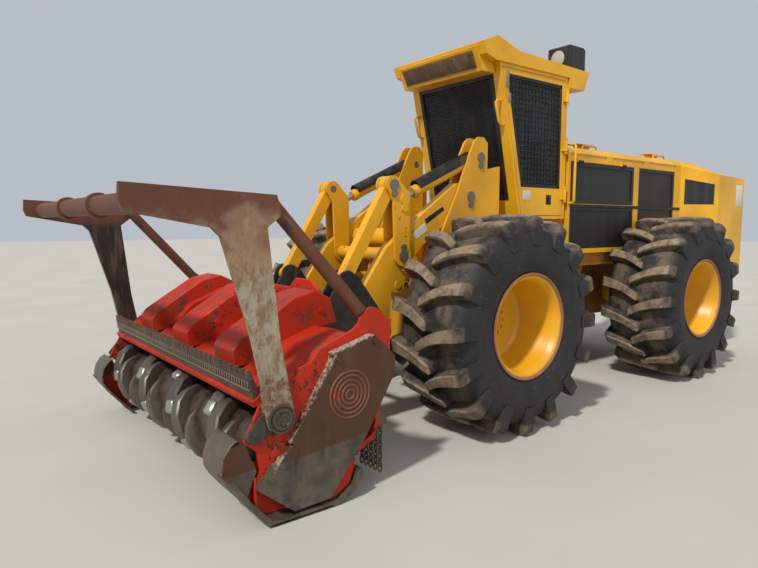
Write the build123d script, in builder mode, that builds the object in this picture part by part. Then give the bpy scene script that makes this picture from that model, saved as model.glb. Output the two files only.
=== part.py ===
from build123d import *
import math
import os

# A wheeled forestry mulcher: an articulated carrier with two lift arms and a rotor head.
# X points forward, Y to the machine's left, Z up. Sizes are millimetres.

# Driving sizes of the whole machine
wheelbase = 3063
track = 2124
front_reach = 3170
rear_reach = 5170
front_axle_x = (rear_reach - front_reach) / 2
rear_axle_x = front_axle_x - wheelbase
steer_x = front_axle_x - 1531

# Wheels: flats of the tread rings keep the tyres standing on flat lugs
tyre_radius = 915
tyre_width = 780
carcass_radius = 822
shoulder_width = 590
bead_radius = 446
bead_width = 680
lugs_per_side = 16
lug_width = 125
lug_lean = 140
lug_root = 735
tread_flats = 16
rim_flats = 36
rim_radius = 442
rim_width = 716
rim_flange = 17
rim_barrel_radius = 405
rim_lip_radius = 412
rim_bowl_radius = 376
disc_depth = 420
disc_thickness = 26
hub_radius = 190
spindle_radius = 140
hub_clearance = 0.5
axle_z = tyre_radius
wheel_y = track / 2

# Lift arms, tilt cranks and their pins in the side view, each as (x, z)
arm_y = 455
arm_thickness = 90
side_gap = 7
steel_plate = 25
cap_thickness = 12
cap_radius = 46
pin_radius = 34
pin_clearance = 0.5
boom_pin = (front_axle_x - 204, 2004)
tilt_base_pin = (front_axle_x - 333, 2369)
crank_pin = (front_axle_x + 617, 1474)
crank_top_pin = (front_axle_x + 720, 2075)
crank_rod_pin = (front_axle_x + 604, 1951)
head_pin = (front_axle_x + 865, 840)
head_link_pin = (front_axle_x + 1197, 1286)
lift_base_pin = (front_axle_x - 330, 1215)
lift_rod_pin = (front_axle_x + 650, 1225)

outer_plate_y = arm_y + arm_thickness / 2 + side_gap
inner_plate_y = arm_y - arm_thickness / 2 - side_gap - steel_plate

# Cylinders
tilt_barrel_radius = 46
tilt_rod_radius = 27
tilt_barrel_length = 856
tilt_eye_radius = 52
lift_barrel_radius = 44
lift_rod_radius = 27
lift_barrel_length = 830
steer_barrel_radius = 42
steer_rod_radius = 24
steer_barrel_length = 500
cylinder_wall = 9
eye_width = arm_thickness - 10
lift_eye_width = 48

# Front frame
front_box_half = 265
front_box_bottom = 640
front_box_top = 1330
tongue_half = 185
tongue_end = steer_x + 180
tower_back = front_axle_x - 600
tower_foot = 1075

# Rear frame and its joint
rear_box_half = 250
rear_box_front = steer_x - 220
rear_box_back = front_axle_x - 4950
rear_box_bottom = 640
rear_box_top = 1290
joint_radius = 130
joint_pin_radius = 50
joint_gap = 10
lug_thickness = 100
fork_thickness = 40
tongue_top_clear = front_box_top + 15
upper_lug_z = 1160
lower_lug_z = 740
steer_rod_pin = (steer_x + 190, 290)
steer_base_pin = (steer_x - 560, 310)
steer_z = 925

# Cab
cab_half = 620
cab_wall = 45
cab_floor = 1800
cab_top = 3250
cab_back = front_axle_x - 1530
cab_front_low = front_axle_x - 800
cab_front_high = front_axle_x - 470

# Engine cover and rear compartment
hood_half = 640
hood_wall = 30
hood_front = cab_back - 30
hood_back = front_axle_x - 4000
hood_bottom = 1430
hood_top = 2560
hood_band = 140
flare_back = front_axle_x - 4400
tail_back = front_axle_x - rear_reach
tail_half = 950
tail_bottom = 1060
tail_side_top = 2380

# Mulching head
head_half = 1480
side_plate_out = head_half - 55
head_side = 25
rotor_pin = (front_axle_x + 2300, 400)
rotor_tip = 315
rotor_drum = 190
rotor_ring = 262
rotor_half = side_plate_out - 115
rotor_rings = 13
teeth_per_ring = 4
brace_radius = 43

os.makedirs("parts", exist_ok=True)


def save(part, name):
    part.label = name
    export_step(part, f"parts/{name}.step")


def ahead(points):
    """Side-view points measured from the front axle, moved to the machine's frame."""
    return [(front_axle_x + x, z) for x, z in points]


def plate(outline, y_from, y_to, bores=()):
    """A plate cut to a side-view outline, with round bores given as (x, z, radius)."""
    with BuildPart() as body:
        with BuildSketch(Plane.XZ.offset(-y_from)):
            with BuildLine():
                Polyline(*outline, close=True)
            make_face()
            for x, z, r in bores:
                with Locations((x, z)):
                    Circle(r, mode=Mode.SUBTRACT)
        extrude(amount=y_from - y_to)
    return body.part


def cross_pin(centre, radius, y_from, y_to):
    """A round bar along Y."""
    with BuildPart() as body:
        with BuildSketch(Plane.XZ.offset(-y_from)):
            with Locations(centre):
                Circle(radius)
        extrude(amount=y_from - y_to)
    return body.part


def ring_stack(sections, flats):
    """A solid of flat bands round Y through sections given as (y, radius to the flats)."""
    with BuildPart() as body:
        for y, radius in sections:
            with BuildSketch(Plane.XZ.offset(-y)):
                RegularPolygon(radius, flats, major_radius=False, rotation=180 / flats)
        loft(ruled=True)
    return body.part


def block(x_from, x_to, y_from, y_to, z_from, z_to):
    with BuildPart() as body:
        with Locations(((x_from + x_to) / 2, (y_from + y_to) / 2, (z_from + z_to) / 2)):
            Box(x_to - x_from, y_to - y_from, z_to - z_from)
    return body.part


def both(part):
    """The piece and its mirror image on the other side of the machine."""
    return Compound(children=[part, mirror(part, about=Plane.XZ)])


# Tyre: carcass of flat bands with leaning lugs, trimmed to the crown
def make_tyre():
    half = tyre_width / 2
    carcass = ring_stack([
        (-bead_width / 2, bead_radius),
        (-half + 20, 640),
        (-shoulder_width / 2, carcass_radius),
        (shoulder_width / 2, carcass_radius),
        (half - 20, 640),
        (bead_width / 2, bead_radius),
    ], tread_flats)
    crown = ring_stack([(-half, tyre_radius), (half, tyre_radius)], tread_flats)
    half_lug = lug_width / math.sqrt(2)
    with BuildPart() as lugs:
        for side in (1, -1):
            for count in range(lugs_per_side):
                turn = 360 / lugs_per_side * (count + (0.5 if side < 0 else 0))
                with BuildSketch(Plane.XY.rotated((0, turn, 0)).offset(lug_root)):
                    with BuildLine():
                        Polyline(
                            (lug_lean + half_lug, side * 5),
                            (lug_lean - half_lug, side * -30),
                            (-lug_lean - half_lug, side * half),
                            (-lug_lean + half_lug + 20, side * half),
                            close=True,
                        )
                    make_face()
                extrude(amount=tyre_radius - lug_root + 20)
    with BuildPart() as tyre:
        add(carcass)
        add(lugs.part & crown)
        add(ring_stack([(-tyre_width, rim_barrel_radius + 1), (tyre_width, rim_barrel_radius + 1)], tread_flats),
            mode=Mode.SUBTRACT)
    return tyre.part


# Rim: flanged barrel with a disc deep inside and a hub that turns on the spindle
def make_rim():
    half = rim_width / 2
    disc_out = half - disc_depth
    disc_in = disc_out - disc_thickness
    with BuildPart() as rim:
        add(ring_stack([(-half, rim_radius), (-half + rim_flange, rim_radius)], rim_flats))
        add(ring_stack([(-half + rim_flange, rim_barrel_radius), (half - rim_flange, rim_barrel_radius)],
                       tread_flats))
        add(ring_stack([(half - rim_flange, rim_radius), (half, rim_radius)], rim_flats))
        add(ring_stack([(half + 1, rim_lip_radius), (half - 30, rim_lip_radius - 30)], rim_flats),
            mode=Mode.SUBTRACT)
        add(ring_stack([(half - 30, rim_bowl_radius), (disc_out, rim_bowl_radius - 26)], rim_flats),
            mode=Mode.SUBTRACT)
        add(ring_stack([(disc_in, rim_bowl_radius), (-half - 1, rim_bowl_radius + 10)], rim_flats),
            mode=Mode.SUBTRACT)
        add(cross_pin((0, 0), hub_radius, disc_in - 170, disc_in + 5))
        add(cross_pin((0, 0), spindle_radius + hub_clearance, disc_in - 171, disc_in),
            mode=Mode.SUBTRACT)
    return rim.part


tyre = make_tyre()
rim = make_rim()
wheel_places = {
    "front_left": (front_axle_x, 1),
    "front_right": (front_axle_x, -1),
    "rear_left": (rear_axle_x, 1),
    "rear_right": (rear_axle_x, -1),
}
for place, (x, side) in wheel_places.items():
    for shape, kind in ((tyre, "tyre"), (rim, "rim")):
        handed = shape if side > 0 else mirror(shape, about=Plane.XZ)
        save(handed.moved(Location((x, side * wheel_y, axle_z))), f"{kind}_{place}")

# Axles: a housing on each side of a frame box, with a flange and a wheel spindle
def make_axle(x, box_half):
    spindle_end = wheel_y + rim_width / 2 - disc_depth - disc_thickness - 1
    flange = wheel_y - rim_width / 2 - 60
    hub_start = spindle_end - 170 - 2
    with BuildPart() as housing:
        with BuildSketch(Plane.XY):
            with BuildLine():
                Polyline(
                    (0, box_half), (152, box_half), (152, box_half + 60), (125, box_half + 120),
                    (125, flange), (240, flange), (240, flange + 50), (180, hub_start - 20),
                    (180, hub_start), (spindle_radius, hub_start), (spindle_radius, spindle_end),
                    (0, spindle_end), close=True,
                )
            make_face()
        revolve(axis=Axis.Y)
    return both(housing.part.moved(Location((x, 0, axle_z))))


save(make_axle(front_axle_x, front_box_half), "front_axle")
save(make_axle(rear_axle_x, rear_box_half), "rear_axle")

# Front frame: a centre box, a tongue to the joint and two plated towers
tower_outline = ahead([
    (-600, tower_foot), (-600, 2300), (-424, 2264), (-424, 2506), (-372, 2556), (-300, 2556),
    (-253, 2518), (-147, 2317), (-32, 2035), (172, 1650), (290, 1330), (330, tower_foot),
])
tower_inner_outline = ahead([
    (-424, tower_foot), (-424, 2506), (-372, 2556), (-300, 2556), (-253, 2518), (-147, 2317),
    (-32, 2035), (172, 1650), (290, 1330), (330, tower_foot),
])
tower_bores = [(*pin, pin_radius) for pin in (boom_pin, tilt_base_pin, lift_base_pin)]
with BuildPart() as front_chassis:
    add(block(tongue_end, front_axle_x - 420, -tongue_half, tongue_half, front_box_bottom, front_box_top))
    add(block(front_axle_x - 620, front_axle_x + 330, -front_box_half, front_box_half,
              front_box_bottom, front_box_top))
    for side in (1, -1):
        outer = plate(tower_outline, outer_plate_y, outer_plate_y + steel_plate, tower_bores)
        inner = plate(tower_inner_outline, inner_plate_y, inner_plate_y + steel_plate, tower_bores)
        floor = block(tower_back, front_axle_x + 330, front_box_half, outer_plate_y + steel_plate,
                      tower_foot, tower_foot + 30)
        rear_wall = block(tower_back, tower_back + steel_plate, inner_plate_y, outer_plate_y,
                          tower_foot, 1940)
        for piece in (outer, inner, floor, rear_wall):
            add(piece if side > 0 else mirror(piece, about=Plane.XZ))
    add(block(tower_back, tower_back + steel_plate, -inner_plate_y, inner_plate_y, 1290, 1700))
    with BuildSketch(Plane.XZ.offset(inner_plate_y)):
        with Locations((front_axle_x - 240, 1640)):
            Circle(85)
    extrude(amount=-2 * inner_plate_y)
    for lug_z in (upper_lug_z, lower_lug_z):
        with BuildSketch(Plane.XY.offset(lug_z - lug_thickness / 2)):
            with Locations((steer_x, 0)):
                Circle(joint_radius)
            with Locations(((steer_x + tongue_end) / 2, 0)):
                Rectangle(tongue_end - steer_x, 2 * joint_radius)
            with Locations((steer_x, 0)):
                Circle(joint_pin_radius + pin_clearance, mode=Mode.SUBTRACT)
        extrude(amount=lug_thickness)
    for side in (1, -1):
        for ear_z in (steer_z + 42, steer_z - 42 - 22):
            with BuildSketch(Plane.XY.offset(ear_z)):
                with Locations((steer_rod_pin[0], side * steer_rod_pin[1])):
                    Circle(48)
                with Locations((steer_rod_pin[0], side * steer_rod_pin[1] / 2)):
                    Rectangle(96, steer_rod_pin[1])
            extrude(amount=22)
save(front_chassis.part, "front_chassis")

# Pins of the towers with their keeper caps
def cap(pin, drop, y):
    """A round pin head with the small keeper flag under it, on a plate's outer face."""
    with BuildPart() as body:
        with BuildSketch(Plane.XZ.offset(-y)):
            with Locations(pin):
                Circle(cap_radius)
            with Locations((pin[0], pin[1] - drop)):
                Circle(cap_radius * 0.68)
            with Locations((pin[0], pin[1] - drop / 2)):
                Rectangle(cap_radius * 1.1, abs(drop))
        extrude(amount=-cap_thickness)
    return body.part


cap_face = outer_plate_y + steel_plate
with BuildPart() as tower_pins:
    for pin in (boom_pin, tilt_base_pin, lift_base_pin):
        add(cross_pin(pin, pin_radius, inner_plate_y, cap_face))
        add(cap(pin, 72, cap_face))
save(both(tower_pins.part), "tower_pins")

# Boom: two thick arms with feet, joined by a cross tube
with BuildPart() as arm:
    add(plate(ahead([
        (-250, 2100), (-150, 2130), (-40, 2120), (546, 1709), (700, 1600), (768, 1551),
        (1004, 1233), (1069, 1093), (985, 1080), (970, 900), (865, 730), (756, 800), (740, 960),
        (717, 1227), (635, 1325), (533, 1400), (373, 1554), (-60, 1850), (-150, 1880), (-270, 1900),
    ]), arm_y - arm_thickness / 2, arm_y + arm_thickness / 2,
        [(*boom_pin, pin_radius + pin_clearance), (*crank_pin, pin_radius + pin_clearance),
         (*head_pin, pin_radius + 10 + pin_clearance)]))
    add(cross_pin((front_axle_x + 1075, 1180), 80, arm_y - arm_thickness / 2, arm_y + arm_thickness / 2))
cross_tube = cross_pin((front_axle_x + 395, 1620), 90, -arm_y, arm_y)
lift_ear_outline = ahead([(550, 1340), (585, 1190), (620, 1160), (690, 1160), (765, 1190), (765, 1340)])
with BuildPart() as left_arm:
    add(arm.part)
    add(plate(lift_ear_outline, arm_y - arm_thickness / 2, arm_y + arm_thickness / 2))
    add(plate(ahead([(500, 1310), (500, 1100), (730, 1100), (730, 1310)]),
              arm_y - lift_rod_radius - 4, arm_y + lift_rod_radius + 4), mode=Mode.SUBTRACT)
    add(cross_pin(lift_rod_pin, 34, arm_y - arm_thickness / 2 - 8, arm_y - lift_rod_radius - 4))
    add(cross_pin(lift_rod_pin, 34, arm_y + lift_rod_radius + 4, arm_y + arm_thickness / 2 + 8))
with BuildPart() as boom_arms:
    add(left_arm.part)
    add(mirror(left_arm.part, about=Plane.XZ))
    add(cross_tube)
save(boom_arms.part, "boom_arms")

# Bell cranks: two plates on each arm, on the crank pin
crank_outline = ahead([
    (543, 1540), (543, 1975), (560, 2020), (655, 2113), (765, 2135), (795, 2060), (722, 1934),
    (705, 1480), (660, 1400), (575, 1400),
])
with BuildPart() as crank:
    for y in (inner_plate_y, outer_plate_y):
        add(plate(crank_outline, y, y + steel_plate))
        for pin, radius in ((crank_top_pin, 77), (crank_pin, 88)):
            add(cross_pin(pin, radius, y, y + steel_plate))
    for pin in (crank_pin, crank_top_pin):
        add(cross_pin(pin, pin_radius + pin_clearance, inner_plate_y - 1, cap_face + 1), mode=Mode.SUBTRACT)
    add(cap(crank_rod_pin, 72, cap_face))
    add(block(front_axle_x + 560, front_axle_x + 590, inner_plate_y, outer_plate_y + steel_plate, 1765, 1820))
with BuildPart() as crank_pair:
    add(crank.part)
    add(mirror(crank.part, about=Plane.XZ))
    add(cross_pin(crank_pin, 62, -inner_plate_y, inner_plate_y))
save(crank_pair.part, "bell_cranks")


def capped_pins(pin, drop):
    with BuildPart() as body:
        add(cross_pin(pin, pin_radius, inner_plate_y + 2, cap_face + 2))
        add(cap(pin, drop, cap_face + 2))
    return both(body.part)


save(capped_pins(crank_pin, -72), "crank_pins")
save(capped_pins(crank_top_pin, 72), "crank_top_pins")

# Tilt links from the crank's top pin to the head
def bar_between(a, b, y_from, y_to, width_a, width_b):
    """A flat bar with round ends from one pin to another."""
    run = math.hypot(b[0] - a[0], b[1] - a[1])
    nx, nz = -(b[1] - a[1]) / run, (b[0] - a[0]) / run
    outline = [
        (a[0] + nx * width_a, a[1] + nz * width_a), (b[0] + nx * width_b, b[1] + nz * width_b),
        (b[0] - nx * width_b, b[1] - nz * width_b), (a[0] - nx * width_a, a[1] - nz * width_a),
    ]
    return plate(outline, y_from, y_to)


link_width = arm_thickness - 6
with BuildPart() as link:
    add(bar_between(crank_top_pin, head_link_pin, arm_y - link_width / 2, arm_y + link_width / 2, 52, 52))
    add(cross_pin(crank_top_pin, 76, arm_y - link_width / 2, arm_y + link_width / 2))
    add(cross_pin(head_link_pin, 62, arm_y - link_width / 2, arm_y + link_width / 2))
    for pin in (crank_top_pin, head_link_pin):
        add(cross_pin(pin, pin_radius + pin_clearance, arm_y - arm_thickness, arm_y + arm_thickness),
            mode=Mode.SUBTRACT)
save(both(link.part), "tilt_links")


# Cylinders: a tube with a base eye and a gland, a rod with an eye
def make_barrel(base, tip, length, radius, rod_radius, pin, collar):
    """The barrel from its base pin toward the tip pin, hollow from its gland end."""
    run = math.hypot(tip[0] - base[0], tip[1] - base[1])
    towards = Vector(tip[0] - base[0], 0, tip[1] - base[1]) / run
    axis_plane = Plane(origin=Vector(base[0], arm_y, base[1]) + towards * 60, z_dir=towards,
                       x_dir=Vector(0, 1, 0))
    with BuildPart() as body:
        with BuildSketch(axis_plane):
            Circle(radius)
        extrude(amount=length - 60)
        with BuildSketch(axis_plane.offset(length - 60 - collar)):
            Circle(radius + 4)
        extrude(amount=collar)
        add(cross_pin(base, radius + 4, arm_y - eye_width / 2, arm_y + eye_width / 2))
        add(bar_between(base, (base[0] + towards.X * 90, base[1] + towards.Z * 90),
                        arm_y - eye_width / 2, arm_y + eye_width / 2, radius * 0.8, radius * 0.8))
        with BuildSketch(axis_plane.offset(40)):
            Circle(radius - cylinder_wall)
        extrude(amount=length - 60 - 40 - 30, mode=Mode.SUBTRACT)
        with BuildSketch(axis_plane.offset(40)):
            Circle(rod_radius + 0.5)
        extrude(amount=length, mode=Mode.SUBTRACT)
        add(cross_pin(base, pin + pin_clearance, arm_y - eye_width, arm_y + eye_width), mode=Mode.SUBTRACT)
    return body.part


def make_rod(base, tip, start, radius, eye_radius, bore, width):
    """The rod from a start distance on the base-to-tip line to its eye at the tip."""
    run = math.hypot(tip[0] - base[0], tip[1] - base[1])
    towards = Vector(tip[0] - base[0], 0, tip[1] - base[1]) / run
    axis_plane = Plane(origin=Vector(base[0], arm_y, base[1]) + towards * start, z_dir=towards,
                       x_dir=Vector(0, 1, 0))
    with BuildPart() as body:
        with BuildSketch(axis_plane):
            Circle(radius)
        extrude(amount=run - start - eye_radius * 0.5)
        add(cross_pin(tip, eye_radius, arm_y - width / 2, arm_y + width / 2))
        add(cross_pin(tip, bore, arm_y - width, arm_y + width), mode=Mode.SUBTRACT)
    return body.part


tilt_barrel = make_barrel(tilt_base_pin, crank_rod_pin, tilt_barrel_length, tilt_barrel_radius,
                          tilt_rod_radius, pin_radius, 60)
save(both(tilt_barrel), "tilt_barrels")
tilt_rod = make_rod(tilt_base_pin, crank_rod_pin, 440, tilt_rod_radius, tilt_eye_radius, pin_radius,
                    eye_width)
save(both(tilt_rod), "tilt_rods")
lift_barrel = make_barrel(lift_base_pin, lift_rod_pin, lift_barrel_length, lift_barrel_radius,
                          lift_rod_radius, pin_radius, 50)
save(both(lift_barrel), "lift_barrels")
lift_rod = make_rod(lift_base_pin, lift_rod_pin, 160, lift_rod_radius, 50, 30, lift_eye_width)
save(both(lift_rod), "lift_rods")


# Steering cylinders lie flat beside the joint
def flat_round(x, y, radius, z_from, z_to):
    """A round disc or pin standing on Z."""
    with BuildPart() as body:
        with BuildSketch(Plane.XY.offset(z_from)):
            with Locations((x, y)):
                Circle(radius)
        extrude(amount=z_to - z_from)
    return body.part


steer_run = math.hypot(steer_rod_pin[0] - steer_base_pin[0], steer_rod_pin[1] - steer_base_pin[1])
steer_towards = Vector(steer_rod_pin[0] - steer_base_pin[0], steer_rod_pin[1] - steer_base_pin[1], 0) / steer_run
steer_line = Plane(origin=Vector(*steer_base_pin, steer_z) + steer_towards * 30, z_dir=steer_towards,
                   x_dir=Vector(0, 0, 1))
with BuildPart() as steer_barrel:
    with BuildSketch(steer_line):
        Circle(steer_barrel_radius)
    extrude(amount=steer_barrel_length - 30)
    with BuildSketch(steer_line.offset(60)):
        Circle(steer_rod_radius + 1)
    extrude(amount=steer_barrel_length, mode=Mode.SUBTRACT)
    add(flat_round(*steer_base_pin, 38, steer_z - 36, steer_z + 36))
    add(flat_round(*steer_base_pin, 24 + pin_clearance, steer_z - 50, steer_z + 50), mode=Mode.SUBTRACT)
with BuildPart() as steer_rod:
    with BuildSketch(steer_line.offset(290)):
        Circle(steer_rod_radius)
    extrude(amount=steer_run - 290 - 30 - 20)
    add(flat_round(*steer_rod_pin, 36, steer_z - 36, steer_z + 36))
    add(flat_round(*steer_rod_pin, 24, steer_z - 50, steer_z + 50), mode=Mode.SUBTRACT)
save(steer_barrel.part, "steer_barrel_left")
save(mirror(steer_barrel.part, about=Plane.XZ), "steer_barrel_right")
save(steer_rod.part, "steer_rod_left")
save(mirror(steer_rod.part, about=Plane.XZ), "steer_rod_right")

# Rear frame: centre box, forks round the joint lugs, deck and the base under the cab
with BuildPart() as rear_chassis:
    add(block(rear_box_back, rear_box_front, -rear_box_half, rear_box_half, rear_box_bottom, rear_box_top))
    for lug_z in (upper_lug_z, lower_lug_z):
        for fork_z in (lug_z + lug_thickness / 2 + joint_gap,
                       lug_z - lug_thickness / 2 - joint_gap - fork_thickness):
            with BuildSketch(Plane.XY.offset(fork_z)):
                with BuildLine():
                    Polyline(
                        (rear_box_front - 80, -rear_box_half), (rear_box_front, -rear_box_half),
                        (steer_x - 40, -joint_radius), (steer_x, -joint_radius),
                        (steer_x, joint_radius), (steer_x - 40, joint_radius),
                        (rear_box_front, rear_box_half), (rear_box_front - 80, rear_box_half), close=True,
                    )
                make_face()
                with Locations((steer_x, 0)):
                    Circle(joint_radius)
            extrude(amount=fork_thickness)
        add(flat_round(steer_x, 0, joint_pin_radius, lug_z - lug_thickness / 2 - joint_gap - fork_thickness,
                       lug_z + lug_thickness / 2 + joint_gap + fork_thickness))
    for side in (1, -1):
        for ear_z in (steer_z + 42, steer_z - 42 - 22):
            add(flat_round(steer_base_pin[0], side * steer_base_pin[1], 46, ear_z, ear_z + 22))
            add(block(steer_base_pin[0] - 46, steer_base_pin[0] + 46,
                      min(side * 200, side * steer_base_pin[1]), max(side * 200, side * steer_base_pin[1]),
                      ear_z, ear_z + 22))
        add(flat_round(steer_base_pin[0], side * steer_base_pin[1], 24, steer_z - 50, steer_z + 50))
        gusset = plate([
            (hood_front, rear_box_top), (hood_front - 60, 1130), (hood_front - 240, 1010),
            (hood_front - 420, 1130), (hood_front - 560, rear_box_top),
        ], 470, 500)
        add(gusset if side > 0 else mirror(gusset, about=Plane.XZ))
        pocket_from, pocket_to = sorted((side * (rear_box_half - 60), side * (rear_box_half + 1)))
        add(block(steer_base_pin[0] + 46, rear_box_front + 1, pocket_from, pocket_to,
                  steer_z - 62, steer_z + 62), mode=Mode.SUBTRACT)
    add(block(rear_box_back, hood_front, -600, 600, rear_box_top, hood_bottom))
    add(block(hood_front - 10, cab_front_low - 60, -590, 590, tongue_top_clear, hood_bottom))
    add(block(tail_back, rear_box_back, -800, 800, tail_bottom - 240, tail_bottom))
    add(block(hood_front, cab_front_low - 60, -590, 590, hood_bottom, cab_floor))
save(rear_chassis.part, "rear_chassis")

# The engine is closed in by the hood, so it is one plain block
save(block(hood_back + 200, hood_front - 500, -330, 330, hood_bottom, 2180), "engine_block")

# Hood: walls with openings for the hatches and the fixed screens
hatch_outline = [(front_axle_x - 2860, 1965), (front_axle_x - 1600, 1965),
                 (front_axle_x - 1600, 2410), (front_axle_x - 2860, 2410)]
lower_outline = [(front_axle_x - 2860, 1480), (front_axle_x - 1600, 1480),
                 (front_axle_x - 1600, 1935), (front_axle_x - 2860, 1935)]
small_outline = [(front_axle_x - 3830, 1480), (front_axle_x - 2970, 1480),
                 (front_axle_x - 2970, 2410), (front_axle_x - 3830, 2410)]
hood_edge = 60
with BuildPart() as hood:
    with BuildSketch(Plane.YZ.offset(hood_back)):
        with BuildLine():
            Polyline(
                (-hood_half, hood_bottom), (hood_half, hood_bottom), (hood_half, hood_top - hood_edge),
                (hood_half - hood_edge, hood_top), (-hood_half + hood_edge, hood_top),
                (-hood_half, hood_top - hood_edge), close=True,
            )
        make_face()
    extrude(amount=hood_front - hood_back)
    add(block(hood_back - 1, hood_front - hood_wall, -hood_half + hood_wall, hood_half - hood_wall,
              hood_bottom - 1, hood_top - hood_edge - 10), mode=Mode.SUBTRACT)
    for outline in (hatch_outline, lower_outline, small_outline):
        add(plate(outline, -hood_half - 1, hood_half + 1), mode=Mode.SUBTRACT)
    for count in range(3):
        start = hood_back + 120 + count * 800
        for side in (1, -1):
            add(block(start, start + 680, side * hood_half - 8, side * hood_half + 8,
                      hood_top - hood_band + 10, hood_top - hood_edge - 10), mode=Mode.SUBTRACT)
hatch_axis = (hood_half + 12, 2412)
hatch_hinges = [hatch_outline[0][0] + 200, hatch_outline[0][0] + 1060]
hatch_knuckle = 90


def along_x(x_from, x_to, radius):
    """A round bar along the hatch's hinge line."""
    with BuildPart() as body:
        with BuildSketch(Plane.YZ.offset(x_from)):
            with Locations(hatch_axis):
                Circle(radius)
        extrude(amount=x_to - x_from)
    return body.part


with BuildPart() as hinge_lugs:
    for x in hatch_hinges:
        add(along_x(x - 24, x + hatch_knuckle + 24, 6))
        for end in (x - 24, x + hatch_knuckle + 6):
            add(block(end, end + 18, hood_half - 4, hatch_axis[0] + 10, 2412, 2440))
            add(along_x(end, end + 18, 12))
with BuildPart() as hood_with_hinges:
    add(hood.part)
    add(hinge_lugs.part)
    add(mirror(hinge_lugs.part, about=Plane.XZ))
save(hood_with_hinges.part, "hood")


def framed_panel(outline, gap, border, y_out, thickness, recess):
    """A side panel with a raised border, fitted into an opening with a gap all round."""
    def inset(amount):
        xs = [x for x, z in outline]
        zs = [z for x, z in outline]
        return [(min(xs) + amount, min(zs) + amount), (max(xs) - amount, min(zs) + amount),
                (max(xs) - amount, max(zs) - amount), (min(xs) + amount, max(zs) - amount)]
    with BuildPart() as body:
        add(plate(inset(gap), y_out - thickness, y_out))
        add(plate(inset(gap + border), y_out - recess, y_out + 1), mode=Mode.SUBTRACT)
    return body.part


with BuildPart() as hatch:
    add(framed_panel(hatch_outline, 6, 40, hood_half, hood_wall, 12))
    for x in hatch_hinges:
        add(block(x, x + hatch_knuckle, hood_half - 4, hatch_axis[0], 2385, 2404))
        add(along_x(x, x + hatch_knuckle, 12))
        add(along_x(x - 1, x + hatch_knuckle + 1, 6 + pin_clearance), mode=Mode.SUBTRACT)
save(hatch.part, "engine_hatch_left")
save(mirror(hatch.part, about=Plane.XZ), "engine_hatch_right")
with BuildPart() as hood_screens:
    for outline in (lower_outline, small_outline):
        add(framed_panel(outline, 0, 40, hood_half, hood_wall, 12))

# Rear compartment: flares out behind the hood, then runs back to the grille
def tail_sections(skin):
    """Cross sections as (x, half width, bottom, side top, roof half width, roof height)."""
    return [
        (hood_back - (0.01 if skin else 0), hood_half - skin, hood_bottom + skin, 2500 - skin, 590 - skin,
         hood_top - skin),
        (flare_back, tail_half - skin, tail_bottom + skin, tail_side_top - skin, 600 - skin, hood_top - skin),
        (tail_back + skin, tail_half - skin, tail_bottom + skin, tail_side_top - 20 - skin, 640 - skin, 2400 - skin),
    ]


def tail_solid(skin):
    with BuildPart() as body:
        for first, second in ((0, 1), (1, 2)):
            for x, half, low, side_top, roof_half, roof in tail_sections(skin)[first:second + 1]:
                with BuildSketch(Plane.YZ.offset(x)):
                    with BuildLine():
                        Polyline((-half, low), (half, low), (half, side_top), (roof_half, roof),
                                 (-roof_half, roof), (-half, side_top), close=True)
                    make_face()
            loft(ruled=True)
    return body.part


tail_wall = 30
tail_window = [(hood_back - 45, 2330), (hood_back - 45, 2000), (flare_back + 45, 2000), (flare_back + 45, 2260)]
tail_whole = tail_solid(0) - tail_solid(tail_wall)
tail_cut = plate(tail_window, -tail_half - 10, tail_half + 10)
grille_opening = block(tail_back - 10, tail_back + tail_wall + 10, -800, 800, 1160, 2260)
frame_notch = (block(rear_box_back, hood_back + 1, -rear_box_half, rear_box_half, tail_bottom - 1, rear_box_top)
               + block(rear_box_back, hood_back + 1, -600, 600, rear_box_top, hood_bottom))
save(tail_whole - tail_cut - grille_opening - frame_notch, "rear_compartment")
with BuildPart() as grille:
    add(block(tail_back, tail_back + tail_wall, -800, 800, 1160, 2260))
    add(block(tail_back - 1, tail_back + tail_wall + 1, -730, 730, 1230, 2190), mode=Mode.SUBTRACT)
    for count in range(12):
        with Locations((tail_back + tail_wall / 2, 0, 1270 + count * 80)):
            Box(tail_wall - 4, 1470, 22)
tail_panes = (tail_whole & tail_cut).solids()
save(Compound(children=[both(hood_screens.part), grille.part, *tail_panes]), "body_screens")

# Cab: a hollow shell, its walls cut for the door, the windows and the front screen
cab_outline = [(cab_back, cab_floor), (cab_front_low, cab_floor), (cab_front_high, cab_top), (cab_back, cab_top)]
cab_inner = [(cab_back + cab_wall, cab_floor + cab_wall), (cab_front_low - cab_wall + 10, cab_floor + cab_wall),
             (cab_front_high - cab_wall, cab_top + 1), (cab_back + cab_wall, cab_top + 1)]
door_opening = [(cab_back + 40, cab_floor + 30), (cab_front_low - 30, cab_floor + 30),
                (cab_front_high - 36, cab_top - 35), (cab_back + 40, cab_top - 35)]
side_window = ahead([(-1440, 2110), (-816, 2110), (-574, 3160), (-1440, 3160)])
front_box = block(cab_front_low - 200, cab_front_high + 100, -520, 520, 2000, 3150)
rear_box_cut = block(cab_back - 10, cab_back + cab_wall + 10, -480, 480, 2640, 3150)
cab_whole = plate(cab_outline, -cab_half, cab_half) - plate(cab_inner, -cab_half + cab_wall, cab_half - cab_wall)
right_cut = plate(side_window, -cab_half - 1, -cab_half + cab_wall + 1)
left_cut = plate(door_opening, cab_half - cab_wall - 1, cab_half + 1)
hinge_heights = (2000, 2500, 3000)
hinge_length = 110
hinge_pin = 9
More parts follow.
